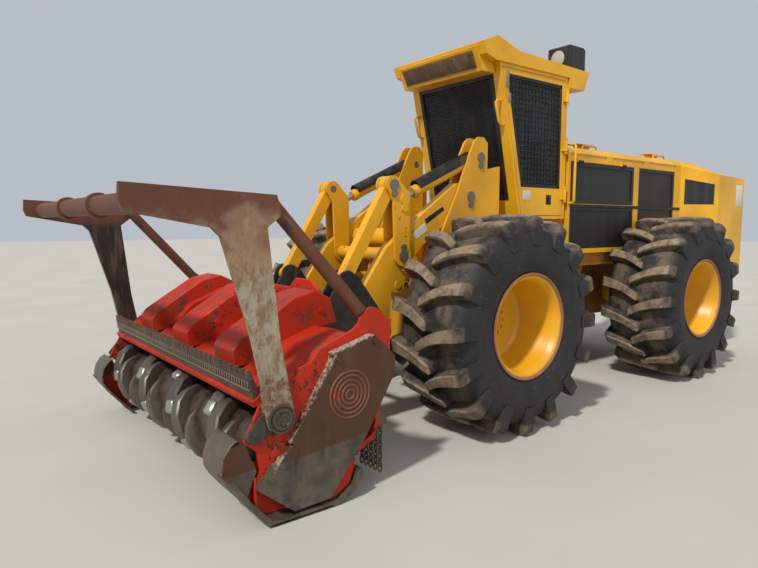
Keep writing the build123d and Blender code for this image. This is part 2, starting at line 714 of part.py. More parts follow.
with BuildPart() as cab_shell:
    add(cab_whole - right_cut - left_cut - front_box - rear_box_cut)
    for z in hinge_heights:
        with BuildSketch(Plane.XY.offset(z - 26)):
            with Locations((cab_back + 28, cab_half + 20)):
                Circle(hinge_pin)
        extrude(amount=hinge_length + 52)
        for end in (z - 26, z + hinge_length + 6):
            add(block(cab_back + 12, cab_back + 38, cab_half - 5, cab_half + 32, end, end + 20))
save(cab_shell.part, "cab_shell")


def shrink(outline, gap):
    """The outline moved inward by a gap; corners run round a shape with four sides."""
    cx = sum(x for x, z in outline) / len(outline)
    cz = sum(z for x, z in outline) / len(outline)
    return [(x + math.copysign(gap, cx - x), z + math.copysign(gap, cz - z)) for x, z in outline]


with BuildPart() as cab_door:
    add(plate(shrink(door_opening, 6), cab_half - cab_wall, cab_half))
    add(plate(side_window, cab_half - cab_wall - 1, cab_half + 1), mode=Mode.SUBTRACT)
    for z in hinge_heights:
        with BuildSketch(Plane.XY.offset(z)):
            with Locations((cab_back + 28, cab_half + 20)):
                Circle(16)
            with Locations((cab_back + 55, cab_half + 13)):
                Rectangle(54, 14)
            with Locations((cab_back + 70, cab_half + 4)):
                Rectangle(24, 18)
            with Locations((cab_back + 28, cab_half + 20)):
                Circle(hinge_pin + pin_clearance, mode=Mode.SUBTRACT)
        extrude(amount=hinge_length)
save(cab_door.part, "cab_door")
save(plate(side_window, cab_half - 28, cab_half - 14), "door_screen")
with BuildPart() as screens:
    add(plate(side_window, -cab_half + 14, -cab_half + 28))
    front_pane = plate([(cab_front_low - 28, cab_floor), (cab_front_low - 14, cab_floor),
                        (cab_front_high - 14, cab_top), (cab_front_high - 28, cab_top)], -520, 520)
    add(front_pane & front_box)
    add(block(cab_back + 14, cab_back + 28, -480, 480, 2640, 3150))
save(screens.part, "cab_screens")

# Roof with its side fascias and the visor box over the front screen
roof_outline = ahead([(-270, 3290), (-230, 3390), (-420, 3470), (-730, 3380), (-1880, 3350), (-1790, 3150),
                      (-1535, 3150), (-1535, 3250), (-400, 3250)])
with BuildPart() as roof:
    add(plate(roof_outline, -640, 640))
    add(plate(ahead([(-212, 3354), (-316, 3157), (-484, 3157), (-462, 3256), (-300, 3400)]), -553, 553))
    add(plate(ahead([(-205, 3330), (-290, 3175), (-316, 3185), (-235, 3335)]), -500, 500), mode=Mode.SUBTRACT)
save(roof.part, "cab_roof")
with BuildPart() as roof_vent:
    add(plate(ahead([(-1850, 3350.9), (-1550, 3358.8), (-1550, 3580), (-1580, 3600), (-1820, 3600), (-1850, 3580)]),
              350, 600))
save(roof_vent.part, "roof_unit")

# Seat and controls seen through the screens
with BuildPart() as seat:
    add(block(cab_back + 220, cab_back + 520, -180, 180, cab_floor + cab_wall, 2120))
    add(block(cab_back + 140, cab_back + 600, -250, 250, 2120, 2240))
    with BuildSketch(Plane.XZ.offset(-240)):
        with BuildLine():
            Polyline(*ahead([(-1350, 2240), (-1250, 2240), (-1330, 2850), (-1410, 3000), (-1450, 2990)]), close=True)
        make_face()
    extrude(amount=480)
    for side in (1, -1):
        add(block(cab_back + 230, cab_back + 600, side * 340 - 70, side * 340 + 70, 2330, 2420))
        add(block(cab_back + 280, cab_back + 380, side * 340 - 110, side * 340 + 50, cab_floor + cab_wall, 2340))
save(seat.part, "cab_seat")

# Head brackets: plates on both sides of each arm's foot, from the hinge shaft to the housing
bracket_outline = ahead([(800, 940), (1100, 1330), (1190, 1375), (1275, 1310), (1370, 1150), (1500, 1020),
                         (1500, 430), (950, 730), (800, 740)])
with BuildPart() as bracket:
    for y in (inner_plate_y, outer_plate_y):
        add(plate(bracket_outline, y, y + steel_plate))
        add(cross_pin(head_pin, 118, y, y + steel_plate))
        add(cross_pin(head_link_pin, 88, y, y + steel_plate))
        add(cross_pin(head_pin, pin_radius + 10 + pin_clearance, y - 1, y + steel_plate + 1), mode=Mode.SUBTRACT)
    add(cap(head_link_pin, -60, cap_face))
save(both(bracket.part), "head_brackets")
with BuildPart() as head_shaft:
    add(cross_pin(head_pin, pin_radius + 10, -cap_face - 14, cap_face + 14))
save(head_shaft.part, "head_hinge_shaft")

# Housing: a closed box behind the rotor, its front face hollowed round the tooth path
rx, rz = rotor_pin
chamber_radius = rotor_tip + 30
chamber = [(rx + chamber_radius * math.cos(math.radians(a)), rz + chamber_radius * math.sin(math.radians(a)))
           for a in (62, 76, 90, 104, 118, 132, 146, 160, 174, 188, 202)]
housing_outline = chamber + ahead([(1930, 170), (1600, 330), (1560, 420), (1560, 960), (1650, 1020), (1779, 1050),
                                   (2031, 970), (2097, 905), (2255, 862), (2475, 735)])
housing_cavity = ahead([(1930, 215), (1930, 420), (1955, 560), (2010, 665), (2110, 760), (2240, 800),
                        (2240, 832), (2088, 872), (2015, 945), (1779, 1018), (1660, 990), (1590, 945),
                        (1590, 440), (1620, 360)])
housing_filled = plate(housing_outline, -side_plate_out + head_side, side_plate_out - head_side)
with BuildPart() as housing:
    add(housing_filled)
    add(plate(housing_cavity, -side_plate_out, side_plate_out), mode=Mode.SUBTRACT)

side_outline = ahead([
    (1476, 1127), (1489, 933), (1492, 770), (1719, 405), (1893, 196), (1992, 64), (2252, 55), (2487, 244),
    (2445, 332), (2457, 408), (2462, 446), (2541, 518), (2438, 713), (2255, 872), (2097, 914), (2031, 990),
    (1779, 1085), (1694, 1156),
])
wear_outline = ahead([
    (1973, 967), (1669, 1051), (1594, 997), (1485, 887), (1492, 770), (1719, 405), (1893, 196), (1992, 64),
    (2252, 55), (2487, 244), (2348, 379), (2171, 617), (1973, 920),
])
brace_pin = (front_axle_x + 1630, 1110)
with BuildPart() as side_plate:
    add(plate(side_outline, side_plate_out - head_side, side_plate_out, [(*rotor_pin, 70 + pin_clearance)]))
    add(cross_pin(brace_pin, 105, side_plate_out - head_side, side_plate_out))
save(both(side_plate.part), "head_side_plates")
with BuildPart() as wear_plate:
    add(plate(wear_outline, side_plate_out, head_half, [(*rotor_pin, 78)]))
    for x, z in ahead([(2404, 298), (2303, 117), (1934, 929), (1645, 998)]):
        add(cross_pin((x, z), 22, head_half, head_half + 12))
skid_top = [(2681, 351), (2564, 177), (2424, 15), (2355, 0), (2037, 0), (1923, 5), (1792, 79), (1750, 189)]
skid_inner = [(1785, 195), (1820, 100), (1930, 40), (2040, 32), (2345, 32), (2405, 45), (2540, 200), (2650, 362)]
with BuildPart() as skid:
    add(plate(ahead(skid_top + skid_inner), side_plate_out - 60, head_half + 6))
    add(plate(ahead([(2541, 523), (2619, 510), (2666, 451), (2672, 355), (2640, 300), (2528, 200), (2469, 338)]),
              side_plate_out - head_side - 30, side_plate_out))
    add(side_plate.part, mode=Mode.SUBTRACT)
    add(wear_plate.part, mode=Mode.SUBTRACT)
save(both(wear_plate.part + skid.part), "head_wear_plates")

# Toothed front plate: a saw edge along its top
front_half = side_plate_out - head_side - 17.5
tooth_count = 35
tooth_pitch = 2 * front_half / tooth_count
tooth_height = 45
saw = []
for count in range(tooth_count):
    y = -front_half + count * tooth_pitch
    saw += [(y, -tooth_height), (y + tooth_pitch * 0.3, 0), (y + tooth_pitch * 0.7, 0)]
with BuildPart() as front_plate:
    with BuildSketch(Plane(origin=(front_axle_x + 2485, 0, 905), x_dir=(0, 1, 0), z_dir=(0.985, 0, -0.173))):
        with BuildLine():
            Polyline(*saw, (front_half, -tooth_height), (front_half, -182), (-front_half, -182), close=True)
        make_face()
    extrude(amount=-25)
    add(housing_filled, mode=Mode.SUBTRACT)
save(front_plate.part, "toothed_plate")

# Box ribs on the housing's top, the central plate and the rear lower brackets
with BuildPart() as ribs:
    for y in (-620, 620):
        add(plate(ahead([(1560, 940), (1650, 1140), (1760, 1180), (2060, 1060), (2230, 900), (2235, 850),
                         (2090, 880), (2020, 950), (1779, 1030), (1650, 1000)]), y - 70, y + 70))
    add(plate(ahead([(1560, 940), (1560, 1200), (1700, 1260), (1900, 1120), (2020, 960), (1779, 1030)]), -30, 30))
    add(block(front_axle_x + 1500, front_axle_x + 1560, -640, 640, 425, 1030))
    add(housing_filled, mode=Mode.SUBTRACT)
save(housing.part + ribs.part, "head_housing")


# Push frame: side members up to the elbow and forward to the cross tube, held by braces
frame_outline = ahead([
    (2240, 660), (2262, 575), (2330, 535), (2398, 575), (2425, 640), (2440, 850), (2500, 1140), (2660, 1680),
    (2710, 1730), (3150, 1810), (3170, 1860), (3165, 1950), (2330, 1910), (2310, 1850), (2310, 1790),
    (2390, 1730), (2320, 1080),
])
push_y = side_plate_out
push_width = 40
with BuildPart() as member:
    add(plate(frame_outline, push_y, push_y + push_width))
brace_y = push_y - 41
brace_low = Vector(brace_pin[0], brace_y, brace_pin[1])
brace_high = Vector(front_axle_x + 2320, brace_y, 1860)
brace_way = brace_high - brace_low
with BuildPart() as brace:
    with BuildSketch(Plane(origin=brace_low + brace_way.normalized() * 115, z_dir=brace_way, x_dir=(0, 1, 0))):
        Circle(brace_radius)
    extrude(amount=brace_way.length - 115)
    add(bar_between(brace_pin, (brace_pin[0] + 110, brace_pin[1] + 120), push_y - head_side - 46,
                    push_y - head_side - 1, 50, 42))
    add(cross_pin(brace_pin, 62, push_y - head_side - 46, push_y - head_side))
with BuildPart() as push_frame:
    for piece in (member.part, brace.part):
        add(piece)
        add(mirror(piece, about=Plane.XZ))
    add(cross_pin((front_axle_x + 3020, 1860), 62, -push_y - 5, push_y + 5))
    for side in (1, -1):
        add(cross_pin((front_axle_x + 3020, 1860), 80, side * 440 - 30, side * 440 + 30))
save(push_frame.part, "push_frame")

# Chain curtain under the housing's rear: links strung alternately flat and edgeways
chain_drop = 215
chain_count = 19
chain_half = side_plate_out - 80
chain_pitch = 2 * (chain_half - 85) / (chain_count - 1)
with BuildPart() as chain:
    add(block(front_axle_x + 1700, front_axle_x + 1712, -22, 22, 245 - chain_drop, 245))
chain_bar = plate(ahead([(1680, 291), (1740, 262), (1740, 222), (1690, 222)]), -chain_half, chain_half)
chain_bar -= housing_filled
chain_row = [chain.part.moved(Location((0, chain_pitch * (count - (chain_count - 1) / 2), 0)))
             for count in range(chain_count)]
save(chain_bar + chain_row, "chain_curtain")

# Rotor: a drum with humped rings and tooth blocks in a helix
ring_pitch = 2 * (rotor_half - 60) / (rotor_rings - 1)
ring_steps = ((232, 0), (rotor_ring, 22), (rotor_ring, 48), (232, 70))
ring_profile = [(r * math.cos(math.radians(a + 90 * k)), r * math.sin(math.radians(a + 90 * k)))
                for k in range(teeth_per_ring) for r, a in ring_steps]
with BuildPart() as ring:
    add(plate(ring_profile, -25, 25))
    for k in range(teeth_per_ring):
        with Locations(Location((0, 0, 0), (0, -(35 + 90 * k), 0))):
            with Locations(((rotor_ring + rotor_tip) / 2 - 14, 0, 0)):
                Box(rotor_tip - rotor_ring + 20, 64, 44)
with BuildPart() as drum:
    with BuildSketch(Plane.XZ.offset(-rotor_half)):
        RegularPolygon(rotor_drum, 24)
    extrude(amount=2 * rotor_half)
    add(cross_pin((0, 0), 70, -side_plate_out, side_plate_out))
rings = [ring.part.moved(Location((0, -rotor_half + 60 + ring_pitch * count, 0), (0, 22.5 * count, 0)))
         for count in range(rotor_rings)]
save((drum.part + rings).moved(Location((rx, 0, rz))), "rotor")
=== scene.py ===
import math
import bmesh
import bpy
from mathutils import Matrix, Vector


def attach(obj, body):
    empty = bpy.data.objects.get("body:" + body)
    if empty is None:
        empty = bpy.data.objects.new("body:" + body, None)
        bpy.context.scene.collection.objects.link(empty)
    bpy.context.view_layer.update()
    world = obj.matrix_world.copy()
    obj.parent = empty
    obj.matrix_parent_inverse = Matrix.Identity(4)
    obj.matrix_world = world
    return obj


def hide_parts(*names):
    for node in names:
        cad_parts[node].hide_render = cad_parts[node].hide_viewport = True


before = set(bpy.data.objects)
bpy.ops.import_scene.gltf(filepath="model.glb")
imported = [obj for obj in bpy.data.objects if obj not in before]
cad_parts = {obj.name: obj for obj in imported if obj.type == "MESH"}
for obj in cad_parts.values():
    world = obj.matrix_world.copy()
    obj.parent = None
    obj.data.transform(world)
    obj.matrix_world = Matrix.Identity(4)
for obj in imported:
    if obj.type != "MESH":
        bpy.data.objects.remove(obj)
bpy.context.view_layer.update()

# Camera of the photograph: it stands ahead and to the machine's left, a little above the tyres.
# Place and angles come from a pinhole fit to the photograph.
yaw, pitch, roll = math.radians(-128.009), math.radians(-5.737), math.radians(0.055)
look = Vector((math.cos(yaw) * math.cos(pitch), math.sin(yaw) * math.cos(pitch), math.sin(pitch)))
focal_pixels = 604.82
photo_width = 758
camera_data = bpy.data.cameras.new("camera")
camera_data.sensor_fit = "HORIZONTAL"
camera_data.sensor_width = 36.0
camera_data.lens = 36.0 * focal_pixels / photo_width
camera_data.clip_end = 200.0
camera = bpy.data.objects.new("camera", camera_data)
camera.location = (4.9735, 4.4891, 1.7532)
camera.rotation_mode = "QUATERNION"
camera.rotation_quaternion = look.to_track_quat("-Z", "Y") @ Matrix.Rotation(roll, 3, "Z").to_quaternion()
bpy.context.scene.collection.objects.link(camera)
bpy.context.scene.camera = camera
bpy.context.scene.view_settings.view_transform = "Standard"

# Light: a hazy sky and one sun from the front left, as in the photograph.
# The sun is wide, so its shadows stay soft, and a weak broad light opens them.
world = bpy.data.worlds.new("sky")
world.use_nodes = True
sky = world.node_tree.nodes["Background"]
sky.inputs["Color"].default_value = (0.86, 0.92, 1.0, 1.0)
sky.inputs["Strength"].default_value = 0.56
bpy.context.scene.world = world
lights = (
    # name, direction towards it, energy, degrees across
    ("sun", (0.66, 0.26, 0.80), 3.0, 4.0),
    ("fill", (0.10, 0.90, 0.45), 0.45, 40.0),
)
for name, toward, energy, angle in lights:
    light_data = bpy.data.lights.new(name, "SUN")
    light_data.energy = energy
    light_data.angle = math.radians(angle)
    light_data.color = (1.0, 0.97, 0.91)
    light = bpy.data.objects.new(name, light_data)
    light.rotation_mode = "QUATERNION"
    light.rotation_quaternion = Vector(toward).to_track_quat("Z", "Y")
    bpy.context.scene.collection.objects.link(light)


# Worn surface: the wear that every painted or bare steel part shows, as one node group.
# It gives tone that varies over a part, chips down to what is under the paint, streaks and low dust.
def plug(tree, value, socket):
    """Links a node's output to a socket, or sets the socket to a plain value."""
    if isinstance(value, bpy.types.NodeSocket):
        tree.links.new(value, socket)
    else:
        socket.default_value = value


def mix_colors(tree, factor, first, second):
    node = tree.nodes.new("ShaderNodeMix")
    node.data_type = "RGBA"
    for value, socket in ((factor, "Factor"), (first, "A"), (second, "B")):
        plug(tree, value, node.inputs[socket])
    return node.outputs["Result"]


def calc(tree, operation, *values):
    """One step of arithmetic."""
    node = tree.nodes.new("ShaderNodeMath")
    node.operation = operation
    for value, socket in zip(values, node.inputs):
        plug(tree, value, socket)
    return node.outputs["Value"]


def product(tree, first, *others):
    for other in others:
        first = calc(tree, "MULTIPLY", first, other)
    return first


def ramp(tree, value, low, high, low_value=0.0, high_value=1.0):
    """Eases from one value to another while the input goes from low to high."""
    node = tree.nodes.new("ShaderNodeMapRange")
    node.interpolation_type = "SMOOTHSTEP"
    for entry, socket in ((value, "Value"), (low, "From Min"), (high, "From Max"), (low_value, "To Min"),
                          (high_value, "To Max")):
        plug(tree, entry, node.inputs[socket])
    return node.outputs["Result"]


def noise(tree, vector, scale, detail=3.0, roughness=0.5):
    node = tree.nodes.new("ShaderNodeTexNoise")
    for value, socket in ((vector, "Vector"), (scale, "Scale"), (detail, "Detail"), (roughness, "Roughness")):
        plug(tree, value, node.inputs[socket])
    return node.outputs["Fac"]


def stretched(tree, vector, stretch):
    node = tree.nodes.new("ShaderNodeVectorMath")
    node.operation = "MULTIPLY"
    node.inputs[1].default_value = stretch
    tree.links.new(vector, node.inputs[0])
    return node.outputs["Vector"]


def object_axes(tree):
    """The place on the machine as separate X, Y and Z, and as one vector."""
    coords = tree.nodes.new("ShaderNodeTexCoord").outputs["Object"]
    parts = tree.nodes.new("ShaderNodeSeparateXYZ")
    tree.links.new(coords, parts.inputs[0])
    return parts.outputs["X"], parts.outputs["Y"], parts.outputs["Z"], coords


worn = bpy.data.node_groups.new("Worn Surface", "ShaderNodeTree")
worn_inputs = (
    ("Paint", "NodeSocketColor", (0.5, 0.5, 0.5, 1.0)),
    ("Under", "NodeSocketColor", (0.1, 0.06, 0.04, 1.0)),
    ("Dust", "NodeSocketColor", (0.35, 0.27, 0.19, 1.0)),
    ("Chips", "NodeSocketFloat", 0.3),
    ("Streaks", "NodeSocketFloat", 0.3),
    ("Low Dust", "NodeSocketFloat", 0.3),
    ("Gloss", "NodeSocketFloat", 0.4),
)
for name, kind, value in worn_inputs:
    worn.interface.new_socket(name, in_out="INPUT", socket_type=kind).default_value = value
for name, kind in (("Color", "NodeSocketColor"), ("Roughness", "NodeSocketFloat"),
                   ("Height", "NodeSocketFloat")):
    worn.interface.new_socket(name, in_out="OUTPUT", socket_type=kind)
given = worn.nodes.new("NodeGroupInput").outputs
worn_out = worn.nodes.new("NodeGroupOutput").inputs
x, y, z, place = object_axes(worn)
toned = worn.nodes.new("ShaderNodeHueSaturation")
plug(worn, given["Paint"], toned.inputs["Color"])
plug(worn, ramp(worn, noise(worn, place, 1.7, 4.0), 0.3, 0.7, 0.80, 1.10), toned.inputs["Value"])
chip_edge = calc(worn, "MULTIPLY_ADD", given["Chips"], -0.30, 0.76)
chip_noise = calc(worn, "MULTIPLY_ADD", noise(worn, place, 2.3, 2.0), 0.45,
                  product(worn, noise(worn, place, 21.0, 8.0, 0.7), 0.62))
chips = ramp(worn, chip_noise, chip_edge, calc(worn, "ADD", chip_edge, 0.035))
streak = ramp(worn, noise(worn, stretched(worn, place, (5.0, 5.0, 0.7)), 2.4, 6.0, 0.6), 0.45, 0.75)
streak = product(worn, streak, given["Streaks"])
low = product(worn, ramp(worn, z, 1.7, 0.1), ramp(worn, noise(worn, place, 6.0, 6.0, 0.65), 0.30, 0.70),
              given["Low Dust"])
dirt = calc(worn, "MAXIMUM", streak, low)
color = mix_colors(worn, chips, toned.outputs["Color"], given["Under"])
plug(worn, mix_colors(worn, dirt, color, given["Dust"]), worn_out["Color"])
rough = ramp(worn, calc(worn, "MAXIMUM", chips, dirt), 0.0, 0.8, given["Gloss"], 0.88)
plug(worn, rough, worn_out["Roughness"])
height = calc(worn, "MULTIPLY_ADD", noise(worn, place, 60.0, 5.0, 0.6), 0.35, product(worn, chips, -0.7))
plug(worn, height, worn_out["Height"])


def srgb(red, green, blue):
    """A colour of the photograph, given as 0 to 255, in linear light."""
    return tuple((c / 255 / 12.92) if c <= 10 else ((c / 255 + 0.055) / 1.055) ** 2.4
                 for c in (red, green, blue)) + (1.0,)


def worn_material(name, paint, under, chips=0.3, streaks=0.25, low_dust=0.3, gloss=0.4, metal=0.0,
                  bump=0.25, dust=(150, 128, 100)):
    """A material of the worn surface, with its own colours and amounts of wear."""
    material = bpy.data.materials.new(name)
    material.use_nodes = True
    tree = material.node_tree
    group = tree.nodes.new("ShaderNodeGroup")
    group.node_tree = worn
    group.name = "wear"
    for socket, value in (("Paint", srgb(*paint)), ("Under", srgb(*under)), ("Dust", srgb(*dust)),
                          ("Chips", chips), ("Streaks", streaks), ("Low Dust", low_dust), ("Gloss", gloss)):
        group.inputs[socket].default_value = value
    shader = tree.nodes["Principled BSDF"]
    shader.inputs["Metallic"].default_value = metal
    relief = tree.nodes.new("ShaderNodeBump")
    relief.inputs["Strength"].default_value = bump
    relief.inputs["Distance"].default_value = 0.004
    tree.links.new(group.outputs["Color"], shader.inputs["Base Color"])
    tree.links.new(group.outputs["Roughness"], shader.inputs["Roughness"])
    tree.links.new(group.outputs["Height"], relief.inputs["Height"])
    tree.links.new(relief.outputs["Normal"], shader.inputs["Normal"])
    return material


def paint_nodes(material, *nodes):
    """Gives CAD nodes their material without touching their meshes."""
    for node in nodes:
        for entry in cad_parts[node].material_slots:
            entry.material = material


# Floor: one plain pale sheet with a faint unevenness of tone, made as a grid of one square.
# It isn't part of the machine.
sheet = bmesh.new()
bmesh.ops.create_grid(sheet, x_segments=1, y_segments=1, size=60.0)
floor_mesh = bpy.data.meshes.new("floor")
sheet.to_mesh(floor_mesh)
sheet.free()
floor_paint = bpy.data.materials.new("floor")
floor_paint.use_nodes = True
tree = floor_paint.node_tree
coords = object_axes(tree)[-1]
shader = tree.nodes["Principled BSDF"]
pale = mix_colors(tree, noise(tree, coords, 0.8, 2.0), (0.44, 0.42, 0.38, 1.0), (0.52, 0.50, 0.46, 1.0))
plug(tree, pale, shader.inputs["Base Color"])
shader.inputs["Roughness"].default_value = 0.9
floor_mesh.materials.append(floor_paint)
floor = bpy.data.objects.new("floor", floor_mesh)
bpy.context.scene.collection.objects.link(floor)

# Carrier: welded steel plate in a warm, sun-bleached yellow with rusty chips and brown streaks.
# The paint of the front frame, the boom and its links is worn a little more than the cab's and hood's.
yellow = worn_material("yellow_paint", (226, 166, 22), (120, 72, 36), chips=0.12, streaks=0.14,
                       low_dust=0.45, gloss=0.38)
paint_nodes(yellow, "rear_axle", "front_axle", "hood", "rear_compartment", "cab_shell", "cab_roof",
            "cab_door")
yellow_worn = worn_material("yellow_boom", (222, 160, 20), (110, 70, 40), chips=0.30, streaks=0.22,
                            low_dust=0.35, gloss=0.42)
paint_nodes(yellow_worn, "front_chassis", "boom_arms", "bell_cranks", "tilt_links", "tilt_barrels",
            "lift_barrels")

# Rear frame: the steel chassis that carries cab and engine.
# Its paint is the same yellow, but browned by soil and rust below the doors.
frame_yellow = worn_material("frame_yellow", (168, 108, 36), (96, 62, 38), chips=0.42, streaks=0.45,
                             low_dust=0.6, gloss=0.6, dust=(112, 84, 58))
paint_nodes(frame_yellow, "rear_chassis")

# Pins, rods and steering cylinders: turned steel, the rods chromed and bright, the pins' caps a dull grey.
# Engine block and steering barrels are dark oily steel.
cap_steel = worn_material("cap_steel", (122, 120, 110), (88, 62, 44), chips=0.35, gloss=0.5, metal=0.55)
paint_nodes(cap_steel, "tower_pins", "crank_pins", "crank_top_pins", "head_hinge_shaft")
rod_chrome = worn_material("rod_chrome", (196, 196, 194), (150, 130, 110), chips=0.05, streaks=0.1,
                           low_dust=0.1, gloss=0.16, metal=1.0, bump=0.05)
paint_nodes(rod_chrome, "tilt_rods", "lift_rods", "steer_rod_left", "steer_rod_right")
dark_steel = worn_material("dark_steel", (66, 62, 56), (104, 72, 50), chips=0.35, streaks=0.3,
                           low_dust=0.5, gloss=0.55, metal=0.3)
paint_nodes(dark_steel, "steer_barrel_left", "steer_barrel_right", "engine_block")

# Roof unit and seat: a closed box in satin black, and a driver's seat in dark woven cloth.
# Both are bolted down, the one to the roof and the other to the cab's floor.
black_box = worn_material("black_box", (28, 28, 29), (70, 62, 54), chips=0.12, streaks=0.15, low_dust=0.2,
                          gloss=0.45)
paint_nodes(black_box, "roof_unit")
seat_cloth = worn_material("seat_cloth", (38, 37, 36), (58, 54, 50), chips=0.2, streaks=0.1, low_dust=0.0,
                           gloss=0.9, bump=0.6)
paint_nodes(seat_cloth, "cab_seat")

# Engine screens and hatches: perforated steel sheet, painted black, in a frame of the same black.
# The holes are a fine square grid of dark round dots.
holes = bpy.data.node_groups.new("Hole Grid", "ShaderNodeTree")
holes.interface.new_socket("Pitch", in_out="INPUT", socket_type="NodeSocketFloat").default_value = 0.02
holes.interface.new_socket("Mask", in_out="OUTPUT", socket_type="NodeSocketFloat")
pitch_given = holes.nodes.new("NodeGroupInput").outputs["Pitch"]
holes_out = holes.nodes.new("NodeGroupOutput")
x, y, z, coords = object_axes(holes)
cells = []
for axis in (calc(holes, "ADD", x, y), z):
    cell = calc(holes, "FRACT", calc(holes, "DIVIDE", axis, pitch_given))
    cells.append(calc(holes, "POWER", calc(holes, "SUBTRACT", cell, 0.5), 2.0))
from_centre = calc(holes, "SQRT", calc(holes, "ADD", *cells))
plug(holes, ramp(holes, from_centre, 0.40, 0.30), holes_out.inputs["Mask"])
hole_pitch = 0.022
hole_depth = 0.75
screen_black = worn_material("screen_black", (34, 33, 33), (70, 62, 54), chips=0.10, streaks=0.28,
                             low_dust=0.3, gloss=0.5, dust=(86, 78, 68))
tree = screen_black.node_tree
grid = tree.nodes.new("ShaderNodeGroup")
grid.node_tree = holes
grid.inputs["Pitch"].default_value = hole_pitch
dotted = mix_colors(tree, product(tree, grid.outputs["Mask"], hole_depth),
                    tree.nodes["wear"].outputs["Color"], srgb(12, 12, 12))
plug(tree, dotted, tree.nodes["Principled BSDF"].inputs["Base Color"])
paint_nodes(screen_black, "body_screens", "engine_hatch_left", "engine_hatch_right")

# Cab windows: dark tinted panes set in the cab's openings behind the guards.
# A film of dust keeps them from being mirrors.
pane = worn_material("dark_pane", (52, 56, 60), (70, 66, 60), chips=0.05, streaks=0.35, low_dust=0.0,
                     gloss=0.30, bump=0.03, dust=(84, 80, 76))
pane_shader = pane.node_tree.nodes["Principled BSDF"]
pane_shader.inputs["Alpha"].default_value = 0.62
pane_shader.inputs["Specular IOR Level"].default_value = 0.25
paint_nodes(pane, "cab_screens", "door_screen")


